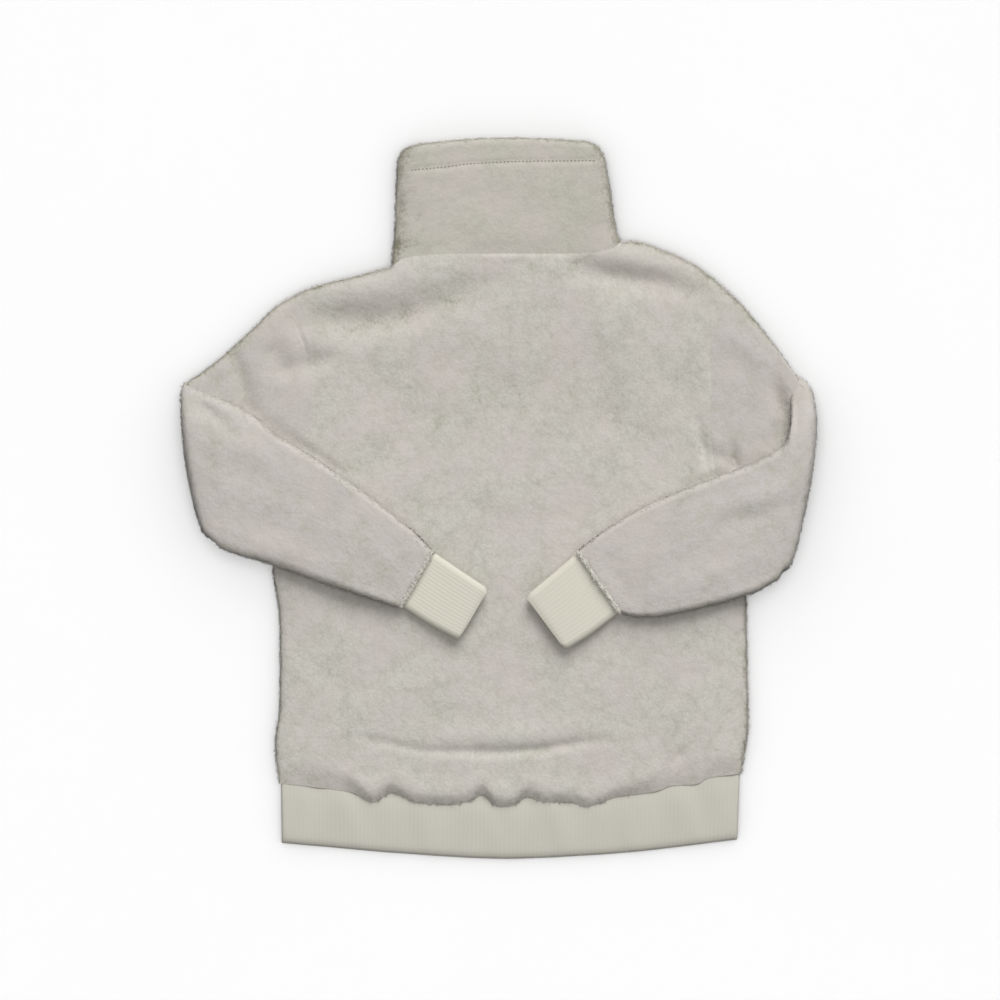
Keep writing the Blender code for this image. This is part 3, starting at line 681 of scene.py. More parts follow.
def gridLoop(grid, across, down, first=0):
    # the outline of a grid, as (share round, point number)
    index = np.arange(grid.shape[0] * grid.shape[1]).reshape(grid.shape[:2]) + first
    sides = [
        (across / 4, index[0]),
        ((1 + down) / 4, index[:, -1]),
        ((3 - across[::-1]) / 4, index[-1, ::-1]),
        ((4 - down[::-1]) / 4, index[::-1, 0]),
    ]
    return [point for shares, numbers in sides for point in zip(shares[:-1].tolist(), numbers[:-1].tolist())]


def panelPiece(name, shown, plain, values):
    # shown and plain are (grid, shares across, shares down)
    first = shown[0].shape[0] * shown[0].shape[1]
    points = np.concatenate([shown[0].reshape(-1, 3), plain[0].reshape(-1, 3)])
    faces = gridQuads(shown[0].shape, False) + gridQuads(plain[0].shape, False, first)
    faces += zipLoops(gridLoop(*shown), gridLoop(*plain, first))
    values = np.concatenate([values.ravel(), np.full(len(points) - first, insideValue)])
    return makePiece(name, points, faces, fleeceMaterial, values)


def heightGrid(plan, height):
    return np.dstack([plan, np.broadcast_to(height, plan.shape[:2])])


def plainSide(neck, hem):
    # the side that doesn't show: its shares across and down, and its plan, a little inside the outline
    shares = [np.linspace(0, 1, count) for count in panelShape["plainCount"]]
    inset = [share + (1 - 2 * share) * even for share, even in zip(panelShape["plainInset"], shares)]
    return shares, panelPlan(neck, hem, *inset)[0]


def makeBackPanel():
    shape = panelShape
    across = panelShares(shape["width"], cloth["step"])
    down = panelShares(shape["length"], cloth["step"])
    neck, hem = smoothLine(outline["neck"]), smoothLine(outline["fleeceHem"])
    plan, fromSide, fromTop, fromHem = panelPlan(neck, hem, across, down)
    rounded, sewn = edgeDrop(across, down, fromSide, fromTop)
    hemFall, hemRoll = hemEdge(across, fromHem)
    drop = np.maximum(np.maximum(rounded, sewn), hemFall)
    inner = smoothStep(np.minimum(np.minimum(fromSide, fromTop), fromHem) / shape["wavesFrom"])
    top = laidTop(plan) - drop + hemRoll + softWaves(plan, *shape["waves"]) * inner
    # distances for the painted rim shade: narrower on the left, kept off sewn seams
    sideRim = fromSide * np.where(across < 0.5, shape["leftRim"], 1)
    sideRim = sideRim + shape["closedSeam"] * (down < shape["armholeShare"])[:, None]
    topRim = fromTop + shape["closedSeam"] * (abs(across - 0.5) < 0.5 - shape["shoulderShare"])
    grid, values = pushPile(heightGrid(plan, top), False, np.minimum(sideRim, topRim))
    # painted shade in hollows and painted light on rolls
    values += cloth["shade"] * creaseSum(grid[..., :2], bodyCreases)
    shares, plainPlan = plainSide(neck, hem)
    level = cloth["fleece"] + cloth["seamGap"] + shape["plainLoft"] * bodyLoft(plainPlan)
    base = heightGrid(plainPlan, np.minimum(level, laidTop(plainPlan) - shape["leastWall"]))
    return panelPiece("backFleece", (grid, across, down), (base, *shares), values), grid


def makeFrontPanel():
    shape = panelShape
    across = panelShares(shape["width"], shape["frontStep"])
    down = panelShares(shape["length"], shape["frontStep"])
    backNeck = smoothLine(outline["neck"])
    neck = lambda shares: backNeck(shares) - np.stack([np.zeros_like(shares), neckDip(shares)], axis=-1)
    hem = lambda shares: smoothLine(outline["ribSeam"])(shares) + (0, cloth["seamGap"])
    plan, fromSide, fromTop, fromHem = panelPlan(neck, hem, across, down)
    rounded = edgeDrop(across, down, fromSide, fromTop)[0]
    grid, values = pushPile(heightGrid(plan, rounded), False, fromSide, shape["frontPile"])
    shares, plainPlan = plainSide(neck, hem)
    level = np.minimum(cloth["fleece"], laidTop(plainPlan) - shape["leastWall"] - cloth["seamGap"])
    return panelPiece("frontFleece", (grid, across, down), (heightGrid(plainPlan, level), *shares), values)


backPanel, backGrid = makeBackPanel()
frontPanel = makeFrontPanel()
print("body panels made")


# sleeves

sleeveShape = {
    "rings": (46, 12, 120),  # of the laid, turning and folded stretches
    "across": 86,
    "innerAcross": 14,
    "innerEvery": 6,  # rings
    "fadeArmhole": 1.7,  # laid rows over which the armhole's curve goes straight
    "armholeGap": -1.2,  # the pile closes over the seam
    "foldThickness": 10.6,
    "foldLift": 3.0,
    "corner": 15.0,  # how far the rounding of a side reaches in
    "crown": 1.6,  # how much fuller the middle is than the sides
    "waves": (30, 0.5),
    "fullness": 1.13,  # of a folded sleeve over its solid's thickness
    "fullUntil": (9, 3),  # the folded row where that ends, and over how many rows
    "foldedRim": 0.015,  # share across that weakens the painted rim shade on the folded upper side
    # the fold's upper end merges with what it lies on: how deep, over what share across, round which ring
    "tipSink": (14.8, 0.17, 52),
}

# laid: upper x, y, lower x, y before the fold; fold: its line; foldBow and bowSkew: how far it bows out
# and the bow's skew; pinch: how much tighter it turns at its upper and lower end, and over what share
# folded: upper x, y, lower x, y, lift over what it lies on, thickness, outward bow
leftSleeve = {
    "side": -1,
    "armhole": "armholeLeft",
    "laid": [(-290, 183, -283, -30), (-322, 155, -308, -40)],
    "fold": (-352, 133, -328, -43),
    "foldBow": 4.0,
    "bowSkew": 1.0,
    "pinch": (0.5, 0.95, 0.18),
    "tipShare": 0.95,
    "tipRings": 34,
    "folded": [
        (-340, 125, -317, -55, 2.8, 11.5, 2.0),
        (-322, 116, -300, -62, 2.0, 12.5, 0.0),
        (-287, 101, -268, -71, 1.0, 13.5, 0.0),
        (-253, 74, -233, -83, 0.3, 14.5, 0.0),
        (-209, 47, -197, -96, 0.0, 15.0, 0.0),
        (-177, 25, -168, -106, 0.0, 15.0, 0.0),
        (-140, -2, -143, -114, 0.0, 14.0, 0.0),
        (-101, -33, -122, -121, 0.0, 13.5, 0.0),
        (-80, -53, -114, -123, 0.3, 12.5, 0.0),
        (-73, -60, -109, -122, 0.6, 10.4, 0.0),
    ],
    "creases": {
        "foldWrinkle": (7, [(-352, 103, -1.5), (-330, 100, -2.6), (-318, 90, -2.2), (-299, 74, -1.0)]),
        "foldRoll": (9, [(-340, 118, 1.0), (-318, 108, 1.5), (-296, 92, 1.0)]),
        "elbowTrough": (14, [(-320, 40, -0.8), (-270, 20, -1.2), (-220, 5, -0.6)]),
        "lowerRoll": (12, [(-290, -40, 0.8), (-220, -68, 1.2), (-160, -85, 0.8)]),
        "wristTrough": (8, [(-120, -50, -0.8), (-105, -80, -1.0), (-118, -105, -0.5)]),
    },
}
rightSleeve = {
    "side": 1,
    "armhole": "armholeRight",
    "laid": [(293, 203, 305, -53), (318, 170, 318, -68)],
    "fold": (338, 139, 323, -82),
    "foldBow": 17.0,
    "bowSkew": 0.6,
    "pinch": (0.5, 0.8, 0.06),
    "tipShare": 1.0,
    "tipRings": 17,
    "folded": [
        (333, 130, 320, -91, 2.8, 11.5, 16.0),
        (333, 90, 311, -96, 2.4, 12.5, 4.0),
        (326, 63, 302, -101, 1.8, 13.5, 3.0),
        (308, 50, 290, -107, 0.8, 14.5, 2.0),
        (288, 40, 268, -114, 0.2, 15.0, 0.0),
        (237, 20, 231, -124, 0.0, 15.0, 0.0),
        (180, -3, 186, -133, 0.0, 14.5, 0.0),
        (135, -27, 158, -134, 0.0, 13.5, 0.0),
        (98, -54, 142, -130, 0.3, 12.5, 0.0),
        (90, -61, 138, -129, 0.6, 10.4, 0.0),
    ],
    "creases": {
        "elbowRoll": (12, [(338, 20, 0.8), (300, 2, 1.5), (250, -10, 1.0)]),
        "elbowTrough": (10, [(330, -8, -0.8), (290, -22, -1.5), (250, -32, -0.8)]),
        "wristTrough": (8, [(140, -45, -0.6), (128, -80, -1.0), (146, -108, -0.5)]),
        "lowerRoll": (14, [(290, -70, 0.8), (230, -92, 1.2), (180, -104, 0.8)]),
    },
}


def outwardOf(upper, lower, side):
    run = lower - upper
    return side * np.array((-run[1], run[0])) / np.linalg.norm(run)


def bowed(upper, lower, outward, bow, across, skew=1.0):
    # points from upper to lower, bowed out between them
    out = bow * np.sin(np.pi * across**skew)
    return np.outer(1 - across, upper) + np.outer(across, lower) + np.outer(out, outward)


def laidSection(sleeve, position):
    armhole = smoothLine(outline[sleeve["armhole"]])
    ends = armhole(np.array([0.0, 1.0]))
    rows = np.array([(*ends[0], *ends[1]), *sleeve["laid"], sleeve["fold"]])
    row = rowsAt(rows, [position])[0]
    upper, lower = row[:2], row[2:]
    outward = outwardOf(upper, lower, sleeve["side"])
    armholeShare = 1 - smoothStep(position / sleeveShape["fadeArmhole"])
    bow = sleeve["foldBow"] * smoothStep((position - 1) / (len(rows) - 2))
    fromSeam = position * np.linalg.norm(rows[1, :2] - rows[0, :2])
    dip = panelShape["seamDip"] * (1 - smoothStep(fromSeam / panelShape["seamDipWidth"]))
    gap = (sleeve["side"] * sleeveShape["armholeGap"] * (1 - min(position / 0.1, 1)), 0)

    def plan(across):
        straight = np.outer(1 - across, ends[0]) + np.outer(across, ends[1])
        curve = (armhole(across) - straight) * armholeShare
        return bowed(upper, lower, outward, bow, across, sleeve["bowSkew"]) + curve + gap

    return section(plan, flat(0.0), lambda place: laidTop(place) - dip)


def foldSection(sleeve, turn):
    upper, lower = np.array(sleeve["fold"][:2], float), np.array(sleeve["fold"][2:], float)
    outward = outwardOf(upper, lower, sleeve["side"])
    radius = (2 * cloth["fleece"] + cloth["seamGap"] + sleeveShape["foldLift"]) / 2
    base = radius * (1 - math.cos(turn))

    def plan(across):
        upperPinch, lowerPinch, pinchShare = sleeve["pinch"]
        ends = upperPinch * np.exp(-across / pinchShare) + lowerPinch * np.exp((across - 1) / pinchShare)
        reach = np.outer(radius * math.sin(turn) * (1 - ends), outward)
        return bowed(upper, lower, outward, sleeve["foldBow"], across, sleeve["bowSkew"]) + reach

    return section(plan, flat(base), flat(sleeveShape["foldThickness"]), turn, outward)


def foldedSection(sleeve, position):
    row = rowsAt(sleeve["folded"], [position])[0]
    upper, lower, lift, thickness, bow = row[:2], row[2:4], *row[4:]
    outward = outwardOf(upper, lower, sleeve["side"])
    plan = lambda across: bowed(upper, lower, outward, bow, across, sleeve["bowSkew"])
    rest = lambda place: restTop(place) + cloth["restGap"] + lift
    last, fade = sleeveShape["fullUntil"]
    extra = (sleeveShape["fullness"] - 1) * smoothStep(position) * smoothStep((last - position) / fade)
    return section(plan, rest, flat(thickness * (1 + extra)), math.pi, outward)


def makeSleeve(name, sleeve):
    shape = sleeveShape
    lastRow = len(sleeve["folded"]) - 1
    laidRings, foldRings, foldedRings = shape["rings"]
    parts = [laidSection(sleeve, position) for position in np.linspace(0, 3, laidRings)]
    parts += [foldSection(sleeve, math.radians(turn)) for turn in np.linspace(15, 180, foldRings)]
    parts += [foldedSection(sleeve, position) for position in np.linspace(0.1, lastRow, foldedRings)]
    width = np.linalg.norm(np.subtract(sleeve["laid"][0][:2], sleeve["laid"][0][2:]))
    share, across, level = ringShares(shape["across"], shape["across"], shape["corner"] / width, 8)
    grid = np.stack([outerRing(part, across, level) for part in parts])
    laid = np.array([math.cos(part["turn"]) for part in parts])[:, None]
    shownSide = smoothStep(laid * level)
    folded = (1 - laid) / 2
    crown = shape["crown"] * np.sin(np.pi * across) * folded
    grid[..., 2] += shownSide * (crown + folded * creaseSum(grid[..., :2], sleeve["creases"]))
    grid[..., 2] += shownSide * folded * softWaves(grid[..., :2], *shape["waves"])
    depth, tipShare, foldRing = shape["tipSink"]
    fromFold = (np.arange(len(parts))[:, None] - foldRing) / sleeve["tipRings"]
    tipDepth = depth * sleeve["tipShare"] * folded
    tipSink = lambda place: tipDepth * np.exp(-((place / tipShare) ** 2) - fromFold ** 2)
    grid[..., 2] -= tipSink(across)
    for _ in range(2):  # eases the change from the laid part into the fold
        grid[1:-1] = (grid[:-2] + 2 * grid[1:-1] + grid[2:]) / 4
    # distance for the painted rim shade
    fromRim = width * np.minimum(across + shape["foldedRim"] * folded, 1 - across)
    grid, values = pushPile(grid, True, fromRim)
    # painted shade in hollows and painted light on rolls
    inHollow = (1 - folded) * (creaseSum(grid[..., :2], bodyCreases) + creaseSum(grid[..., :2], hollows))
    values += cloth["shade"] * (inHollow + folded * creaseSum(grid[..., :2], sleeve["creases"]))
    innerShare, innerAcross, inner = insideTube(parts, shape["innerAcross"], 0.02)
    inner[..., 2] -= tipSink(innerAcross)
    inner = inner[list(range(0, len(parts), shape["innerEvery"])) + [-1]]
    return tubePiece(name, grid, share, inner, innerShare, sleeveMaterial, values), grid


leftSleevePiece, leftSleeveGrid = makeSleeve("leftSleeveFleece", leftSleeve)
rightSleevePiece, rightSleeveGrid = makeSleeve("rightSleeveFleece", rightSleeve)
print("sleeves made")


# ribbed cuffs and hem

ribShape = {
    "wall": 3.2,
    "pointsPerRib": 6,
    "innerEvery": 4,  # rings
    "hemWidth": 520,
    "waveStretch": (1, 0.35),
    "hem": {
        "ribs": 111, "raise": 0.09, "ribsBelow": 0, "underside": 60, "corner": 4.0, "step": 4.5,
        "waves": (16, 0.7), "inside": (40, 0.01),
    },
    "cuff": {
        "ribs": 17, "raise": 0.12, "ribsBelow": 1, "underside": 103, "corner": 7.0, "step": 3.0,
        "waves": (16, 0), "inside": (18, 0.03),
    },
}

# upper x, y, lower x, y, lift over what it lies on, thickness
cuffs = {
    "left": [
        (-74.5, -59.2, -110.5, -121.2, 1.0, 9.2),
        (-44, -80, -78, -142, 2.2, 10.4),
        (-19, -96.5, -50, -157.0, 3.4, 10.2),
        (-14, -100.2, -45.2, -158.6, 3.9, 9.4),
        (-11.6, -104, -42, -156.5, 4.8, 7.4),
    ],
    "right": [
        (91.5, -60.0, 139.5, -128.0, 1.0, 9.2),
        (62, -85, 108, -152, 2.2, 10.4),
        (40, -103.4, 84, -167.2, 3.4, 10.2),
        (35, -108.0, 78.6, -169.6, 3.9, 9.4),
        (32.6, -112.4, 74.4, -168.6, 4.8, 7.4),
    ],
}


# share of the way down the hem, thickness; its upper part lies under the fleece's edge
hemRows = [(0.0, 4.4), (0.2, 5.8), (0.35, 6.8), (0.6, 7.2), (0.9, 7.0), (0.97, 6.0), (1.0, 4.2)]


def ribbedTube(name, kind, parts, width, materialName):
    # a tube with round ridges along it: all round on a cuff, and on the upper side of the hem
    shape = ribShape[kind]
    pitch = width / shape["ribs"]
    count = shape["ribs"] * ribShape["pointsPerRib"] + 1
    sizes = (count, shape["underside"], shape["corner"] / width, 3)
    share, across, level, positions, grid = outsideTube(parts, shape["step"], *sizes)
    grid[..., 2] += np.maximum(level, 0) * softWaves(grid[..., :2] * ribShape["waveStretch"], *shape["waves"])
    ridge = shape["raise"] * np.sin(np.pi * shape["ribs"] * across) ** 2
    shown = smoothStep(np.maximum(level, -level * shape["ribsBelow"]))
    grid = grid + outwardNormals(grid, True) * (ridge * shown)[..., None]
    grid[..., 2] = np.maximum(grid[..., 2], 0)
    innerShare, inner = sparseInside(parts, *shape["inside"], positions[::ribShape["innerEvery"]])
    ribPlace = across[None] * pitch * shape["ribs"]
    uv = np.stack(np.broadcast_arrays(ribPlace, lengthAlong(grid)[:, None]), axis=-1)
    material = ribKnit(materialName, pitch, ribLook[kind])
    return tubePiece(name, grid, share, inner, innerShare, material, None, uv)


def makeCuff(name, rows):
    def cuffSection(row):
        upper, lower, lift, thickness = row[:2], row[2:4], *row[4:]
        plan = lambda across: np.outer(1 - across, upper) + np.outer(across, lower)
        rest = lambda place: restTop(place) + cloth["restGap"] + lift
        return section(plan, rest, flat(thickness), wall=ribShape["wall"])

    rows = np.array(rows)
    width = np.linalg.norm(rows[1, :2] - rows[1, 2:4])
    return ribbedTube(name, "cuff", [cuffSection(row) for row in rows], width, name + "Rib")


def makeHem():
    seam, edge = smoothLine(outline["ribSeam"]), smoothLine(outline["ribHem"])

    def hemSection(down, thickness):
        plan = lambda across: seam(across) * (1 - down) + edge(across) * down
        return section(plan, flat(0.0), flat(thickness), wall=ribShape["wall"])

    parts = [hemSection(*row) for row in hemRows]
    return ribbedTube("hemRib", "hem", parts, ribShape["hemWidth"], "hemRibKnit")


leftCuff = makeCuff("leftCuff", cuffs["left"])
rightCuff = makeCuff("rightCuff", cuffs["right"])
hemPiece = makeHem()
print("rib knit made")


# stand collar

# left x, y, right x, y, bow of its middle, thickness, part of the front's dip
collarRows = [
    (-119, 284, 134, 310, 0.0, 11.5, 0.8),
    (-117, 305, 131, 326, 1.0, 12.5, 0.5),
    (-116, 335, 128, 350, 3.0, 13.0, 0.2),
    (-115, 362, 124, 372, 5.0, 13.5, 0.0),
    (-114, 382, 121, 388, 6.0, 13.0, 0.0),
    (-109, 394, 115, 399, 8.0, 13.0, 0.0),
    (-101, 400, 108, 404, 7.0, 11.0, 0.0),
    (-88, 404, 97, 407, 5.0, 6.0, 0.0),
]
collarShape = {
    "neckGap": -1.2,  # the pile closes over the seam
    "neckRecess": 3.0,
    "corner": 22.0,
    "width": 250,
    "across": 110,
    "hiddenAcross": 44,
    "inside": (30, 0.01),
    "innerEvery": 3,  # rings
    "rim": (72, 120),  # millimetres across, as the painted rim shade counts them from the left and right side
    "stitchLine": [(-99, 374), (-62, 377.5), (-30, 381.5), (26, 384), (112, 385)],
    "stitchPitch": 4.2,
    "stitchLength": 3.0,
    "threadRadius": 0.45,
    # of one stitch: share of its length, lift and thickness
    "threadRings": [(0, -0.7, 0.6), (0.25, 0.6, 1.0), (0.75, 0.6, 1.0), (1, -0.7, 0.6)],
    "threadSides": 6,
    "stitchTrough": 0.9,
    "troughWidth": 3.5,
    "creases": {
        "leftSlump": (16, [(-108, 330, -1.5), (-90, 318, -0.8), (-60, 312, -0.3)]),
        "middleTrough": (22, [(-30, 345, -0.5), (20, 330, -0.9), (70, 322, -0.5)]),
        "rightRoll": (15, [(118, 360, 0.4), (122, 335, 0.8), (126, 312, 0.4)]),
    },
}


def makeCollar():
    shape = collarShape
    neck = smoothLine(outline["neck"])

    def collarSection(row):
        left, right, bow, thickness, dipShare = row[:2], row[2:4], *row[4:]
        plan = lambda across: bowed(left, right, (0, 1), bow, across)
        dip = lambda across: dipShare * neckDip(across)
        return section(plan, flat(0.0), flat(thickness), lowerDip=dip)

    seamPlan = lambda across: neck(across) + (0, shape["neckGap"])
    seamTop = lambda place: laidTop(place) - panelShape["seamDip"]
    parts = [section(seamPlan, flat(0.0), seamTop, lowerDip=neckDip, recess=(0, shape["neckRecess"]))]
    parts += [collarSection(row) for row in np.array(collarRows)]
    sizes = (shape["across"], shape["hiddenAcross"], shape["corner"] / shape["width"], 8)
    share, across, level, positions, grid = outsideTube(parts, cloth["step"], *sizes)
    line = [(x, y, -shape["stitchTrough"]) for x, y in shape["stitchLine"]]
    place = grid[..., :2]
    folds = creaseHeight(place, shape["troughWidth"], line) + creaseSum(place, shape["creases"])
    grid[..., 2] += np.maximum(level, 0) * folds
    smooth = grid.copy()
    leftRim, rightRim = shape["rim"]
    grid, values = pushPile(grid, True, np.minimum(leftRim * across, rightRim * (1 - across)))
    innerShare, inner = sparseInside(parts, *shape["inside"], positions[::shape["innerEvery"]])
    return tubePiece("collarFleece", grid, share, inner, innerShare, collarMaterial, values), grid, smooth


collarPiece, collarGrid, collarSmooth = makeCollar()
print("collar made")


# curls that stand out of the pile

curlShape = {
    "count": {"back": 2600, "sleeve": 3200, "collar": 1800},
    "scatter": 0.6,
    "steepFrom": 0.9,  # how upright the pile may point where a curl still stands out of it
    "radius": 1.0,
    "size": (0.7, 1.3),  # from the smallest to the largest, in radii
    "thread": 0.38,
    "taper": 0.6,
    "turn": 190,  # degrees that a curl bends through
    "rise": 0.8,
    "drift": 0.7,
    "rings": 4,
    "value": (0.6, 0.9),  # of its pile colour, from root to tip: the darker root is painted shade
}
# fuzz at a sleeve's cuff seam: its near-white tip colour is a painted highlight of light caught by the cut
# fibres
cutPile = {
    "tip": "#efede5",
    "count": 900,
    "rings": 4,  # of the sleeve's end
    "raise": 2.2,
    "scatter": 0.7,
    "upward": 2,
    "thread": 0.42,
}
coveredShape = {
    "cell": 5,
    "fromRing": 66,
    "fromSide": 8,  # points
}


def edgeRoots(grid, closed, count, keep=None):
    # where curls stand out of the pile: mostly where a piece rounds over
    normals = outwardNormals(grid, closed)
    run = np.roll(grid, -1, 1) - grid if closed else np.gradient(grid, axis=1)
    area = np.linalg.norm(np.cross(run, np.gradient(grid, axis=0)), axis=-1)
    area = area * np.clip(curlShape["steepFrom"] - abs(normals[..., 2]), 0, 1)
    roots, normals, area = grid.reshape(-1, 3), normals.reshape(-1, 3), area.ravel()
    if keep is not None:
        area = area * keep(roots)
    picked = chance.choice(len(roots), count, p=area / area.sum())
    return roots[picked] + chance.normal(0, curlShape["scatter"], (count, 3)), normals[picked]


def seamRoots(grid):
    # along the sewn edge at a sleeve's end, on its upper side
    shape = cutPile
    normals = outwardNormals(grid, True)[-shape["rings"]:]
    shown = np.argwhere(normals[..., 2] > 0.1)
    picked = shown[chance.choice(len(shown), shape["count"])]
    raised = chance.normal((0, 0, shape["raise"]), shape["scatter"], (shape["count"], 3))
    roots = grid[-shape["rings"]:][picked[:, 0], picked[:, 1]] + raised
    upward = normals[picked[:, 0], picked[:, 1]] + (0, 0, shape["upward"])
    return roots, upward / np.linalg.norm(upward, axis=1, keepdims=True)


def makeCurls(name, roots, normals, material, thread=curlShape["thread"], litAsPile=True):
    # small hooked strands
    shape = curlShape
    lean = np.cross(normals, chance.normal(0, 1, normals.shape))
    lean /= np.linalg.norm(lean, axis=1, keepdims=True)
    aside = np.cross(normals, lean)
    size = shape["radius"] * chance.uniform(*shape["size"], (len(roots), 1))
    along = np.linspace(0, 1, shape["rings"])
    corners = np.arange(3) * 2 * math.pi / 3
    rings = []
    for share in along:
        angle = math.radians(shape["turn"]) * share
        hook = (1 - math.cos(angle)) * lean + math.sin(angle) * normals * shape["rise"]
        centre = roots + size * (hook + share * aside * shape["drift"])
        out = math.cos(angle) * -lean + math.sin(angle) * normals
        thick = thread * (1 - shape["taper"] * share)
        ring = [centre + thick * (math.cos(corner) * out + math.sin(corner) * aside) for corner in corners]
        rings.append(np.stack(ring, axis=1))
    points = np.stack(rings, axis=1).reshape(-1, 3)
    points[:, 2] = np.maximum(points[:, 2], 0)
    perCurl = shape["rings"] * 3
    starts = np.arange(len(roots)) * perCurl
    faces = (starts[:, None, None] + np.array(gridQuads((shape["rings"], 3), True))).reshape(-1, 4).tolist()
    rootValue, tipValue = shape["value"]
    values = np.tile(np.repeat(rootValue + (tipValue - rootValue) * along, 3), len(roots))
    curls = makePiece(name, points, faces, material, values)
    if litAsPile:
        curls.data.normals_split_custom_set_from_vertices(normals.repeat(perCurl, axis=0).tolist())
    return curls


def planCells(points):
    return map(tuple, np.round(points[..., :2].reshape(-1, 2) / coveredShape["cell"]).astype(int).tolist())


covered = set()  # plan cells that a folded sleeve lies on
for sleeveGrid in (leftSleeveGrid, rightSleeveGrid):
    side = coveredShape["fromSide"]
    covered.update(planCells(sleeveGrid[coveredShape["fromRing"]:, side:-side]))


def inSight(points):
    return np.array([cell not in covered for cell in planCells(points)])


counts = curlShape["count"]
# painted highlight: near-white fuzz along the cuff seams
seamHighlightMaterial = sherpaFleece("cuffSeamHighlightFuzz", cutPile["tip"], 0.0)
backCurls = makeCurls("backCurls", *edgeRoots(backGrid, False, counts["back"], inSight), fleeceMaterial)
sleeveGrids = {"left": leftSleeveGrid, "right": rightSleeveGrid}
sleeveCurls = {
    side: makeCurls(side + "SleeveCurls", *edgeRoots(grid, True, counts["sleeve"]), sleeveMaterial)
    for side, grid in sleeveGrids.items()
}
collarCurls = makeCurls("collarCurls", *edgeRoots(collarGrid, True, counts["collar"]), collarMaterial)
seamFuzz = {
    side: makeCurls(side + "CuffSeamFuzz", *seamRoots(grid), seamHighlightMaterial, cutPile["thread"], False)
    for side, grid in sleeveGrids.items()
}
sleevePile = {side: [sleeveCurls[side], seamFuzz[side]] for side in sleeveGrids}
print("curls made")


# seams and stitching

# Spun polyester sewing thread: a little darker and smoother than the cloth
threadLook = {
    "plies": ("#a39d8c", "#b5b0a0"),
    "ply": 0.6,
    "relief": 0.1,
    "surface": {"Roughness": 0.6, "Specular IOR Level": 0.3},
}


def sewingThread():
    look = threadLook
    material, add = newMaterial("spunPolyesterThread")
    ply = addNoise(add, look["ply"], 2.0)
    addSurface(add, mixColours(add, ply, *look["plies"]), ply, 0.4, look["relief"], look["surface"])
    return material


def makeStitches():
    shape = collarShape
    line = smoothLine(shape["stitchLine"])
    count = int(lengthAlong(line(np.linspace(0, 1, 50)))[-1] / shape["stitchPitch"])
    upperSide = collarSmooth[:, :shape["across"] + 5].reshape(-1, 3)
    sides = shape["threadSides"]
    up = np.array((0, 0, shape["threadRadius"]))
    points, faces = [], []
    for number in range(count):
        ends = line(np.array([number, number + shape["stitchLength"] / shape["stitchPitch"]]) / count)
        run = ends[1] - ends[0]
        aside = np.array((-run[1], run[0], 0)) / np.linalg.norm(run) * shape["threadRadius"]
        for share, lift, thick in shape["threadRings"]:
            place = ends[0] + run * share
            nearest = upperSide[np.argmin(((upperSide[:, :2] - place) ** 2).sum(axis=1)), 2]
            centre = np.append(place, nearest + lift)
            for angle in 2 * math.pi / sides * np.arange(sides):
                points.append(centre + thick * (math.cos(angle) * aside + math.sin(angle) * up))
        ringCount = len(shape["threadRings"])
        faces += gridQuads((ringCount, sides), True, number * ringCount * sides)
    return makePiece("collarTopstitch", np.array(points), faces, sewingThread())


topstitch = makeStitches()
print("stitching made")


# what stands for what, and the cloth's cut

# all round on a tube: width and length of the cut, and its area where it isn't a rectangle, in millimetres
cuts = {
    "back_panel": (backPanel, "body_fleece", (560, 650), 300000, [backCurls]),
    "front_panel": (frontPanel, "body_fleece", (560, 620), 285000, []),
    "sleeve_left": (leftSleevePiece, "sleeve_fleece", (480, 440), 150000, sleevePile["left"]),
    "sleeve_right": (rightSleevePiece, "sleeve_fleece", (520, 420), 150000, sleevePile["right"]),
    "cuff_left": (leftCuff, "cuff_rib", (150, 74), None, []),
    "cuff_right": (rightCuff, "cuff_rib", (164, 75), None, []),
    "hem_rib": (hemPiece, "hem_rib_knit", (1050, 82), None, []),
    "collar": (collarPiece, "collar_fleece", (500, 130), None, [collarCurls, topstitch]),
}
for node, (piece, slotName, cut, area, extras) in cuts.items():
    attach(piece, "root")
    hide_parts(node)
    for extra in extras:
        extra.parent = piece


# floor, light and camera

# a lamp: strength, where it shines from, how many degrees it spreads over, what it lights
stageSet = {
    "floorSize": 8000,
    "floorLevel": -0.3,
    "floorColours": ("#f9f9f8", "#f7f7f6"),
    "floorCloud": 1000 / 3,
    "floorGrain": 2,
    "floorRelief": 0.1,
    "floorSurface": {"Roughness": 0.9, "Specular IOR Level": 0.1},
    "frameWidth": 1.14,  # metres across the picture
    "lens": 150,
    "aim": (0.0026, -0.0014),
    "lamps": {
        "overheadSoftbox": (0.95, (0, 0, 1), 85, "all"),
        "keySoftbox": (2.85, (0.25, 1.0, 0.72), 40, "cloth"),  # from the collar's side, and the right
        "floorSoftbox": (0.89, (0, 0, 1), 150, "floor"),
    },
    "floorRing": (6, 0.64, 11, 40),  # low lamps all round: count, strength, degrees above the floor, spread
    "worldColour": "#f6f7fa",
    "worldStrength": 0.235,
}


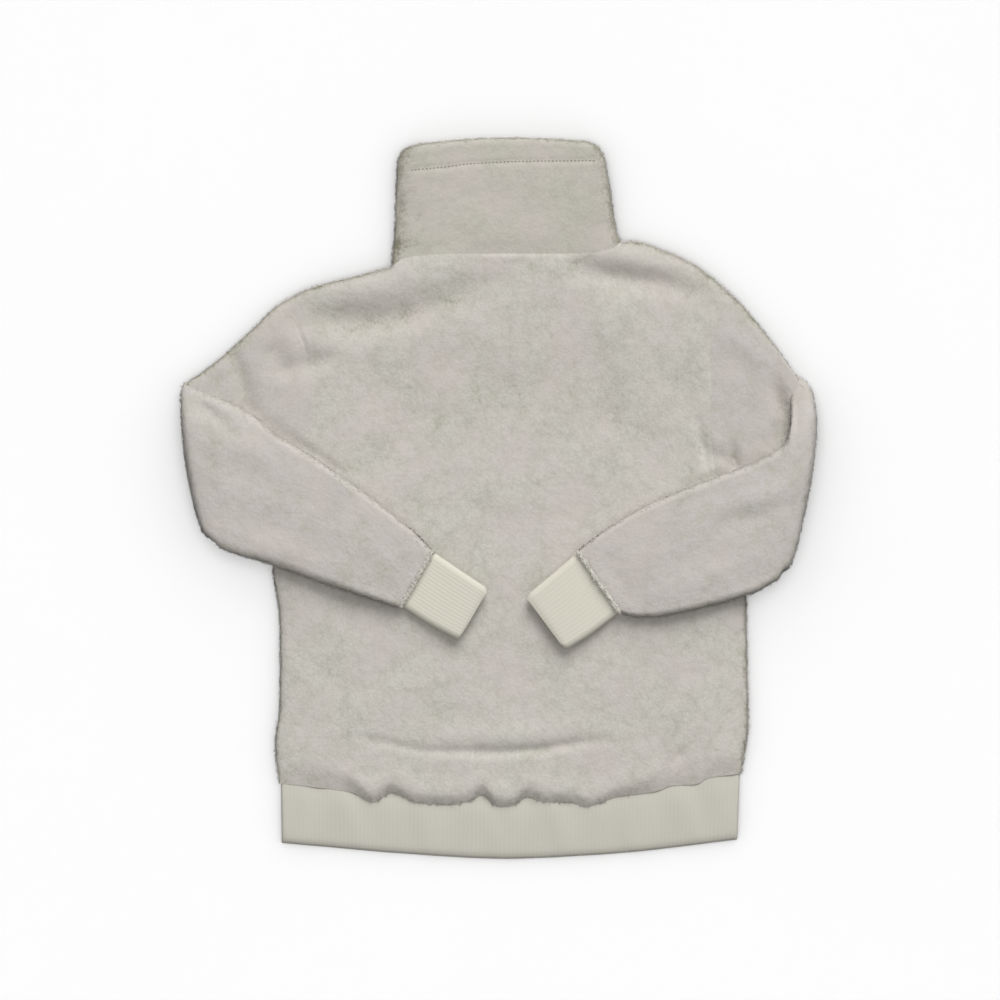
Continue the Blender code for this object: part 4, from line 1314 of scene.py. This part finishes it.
def makeFloor():
    # Matt painted board: pale, with a trace of unevenness
    material, add = newMaterial("mattPaintedBoard")
    colour = mixColours(add, addNoise(add, stageSet["floorCloud"]), *stageSet["floorColours"])
    grain = addNoise(add, stageSet["floorGrain"], 2.0)
    addSurface(add, colour, grain, 0.05, stageSet["floorRelief"], stageSet["floorSurface"])
    half = stageSet["floorSize"] / 2
    corners = half * np.array([(-1, -1, 0), (1, -1, 0), (1, 1, 0), (-1, 1, 0)])
    floor = makePiece("floor", corners + (0, 0, stageSet["floorLevel"]), [[0, 1, 2, 3]], material)
    floor.visible_diffuse = False  # throws no light back up at the cloth's edges
    return floor


def makeLights(floor):
    lit = {"cloth": bpy.data.collections.new("clothLit"), "floor": bpy.data.collections.new("floorLit")}
    for piece in bpy.context.scene.objects:
        if piece.type == "MESH":
            lit["floor" if piece == floor else "cloth"].objects.link(piece)
    world = bpy.data.worlds.new("studio")
    world.use_nodes = True
    background = world.node_tree.nodes["Background"]
    background.inputs["Color"].default_value = hexToLinear(stageSet["worldColour"])
    background.inputs["Strength"].default_value = stageSet["worldStrength"]
    bpy.context.scene.world = world
    count, ringStrength, rise, ringSpread = stageSet["floorRing"]
    lamps = dict(stageSet["lamps"])
    for number in range(count):
        angle = 2 * math.pi * number / count
        shinesFrom = (math.cos(angle), math.sin(angle), math.tan(math.radians(rise)))
        lamps[f"floorRing{number + 1}"] = (ringStrength, shinesFrom, ringSpread, "floor")
    for name, (strength, shinesFrom, spread, lights) in lamps.items():
        light = bpy.data.lights.new(name, "SUN")
        light.energy = strength
        light.angle = math.radians(spread)
        lamp = bpy.data.objects.new(name, light)
        lamp.rotation_euler = Vector(shinesFrom).to_track_quat("Z", "Y").to_euler()
        bpy.context.scene.collection.objects.link(lamp)
        if lights in lit:
            lamp.light_linking.receiver_collection = lit[lights]


def makeCamera():
    camera = bpy.data.cameras.new("camera")
    camera.lens = stageSet["lens"]
    camera.clip_end = 50
    eye = bpy.data.objects.new("camera", camera)
    distance = stageSet["frameWidth"] * camera.lens / camera.sensor_width
    eye.location = (*stageSet["aim"], distance)
    bpy.context.scene.collection.objects.link(eye)
    bpy.context.scene.camera = eye
    bpy.context.scene.view_settings.view_transform = "Standard"


makeLights(makeFloor())
makeCamera()
print("stage made")
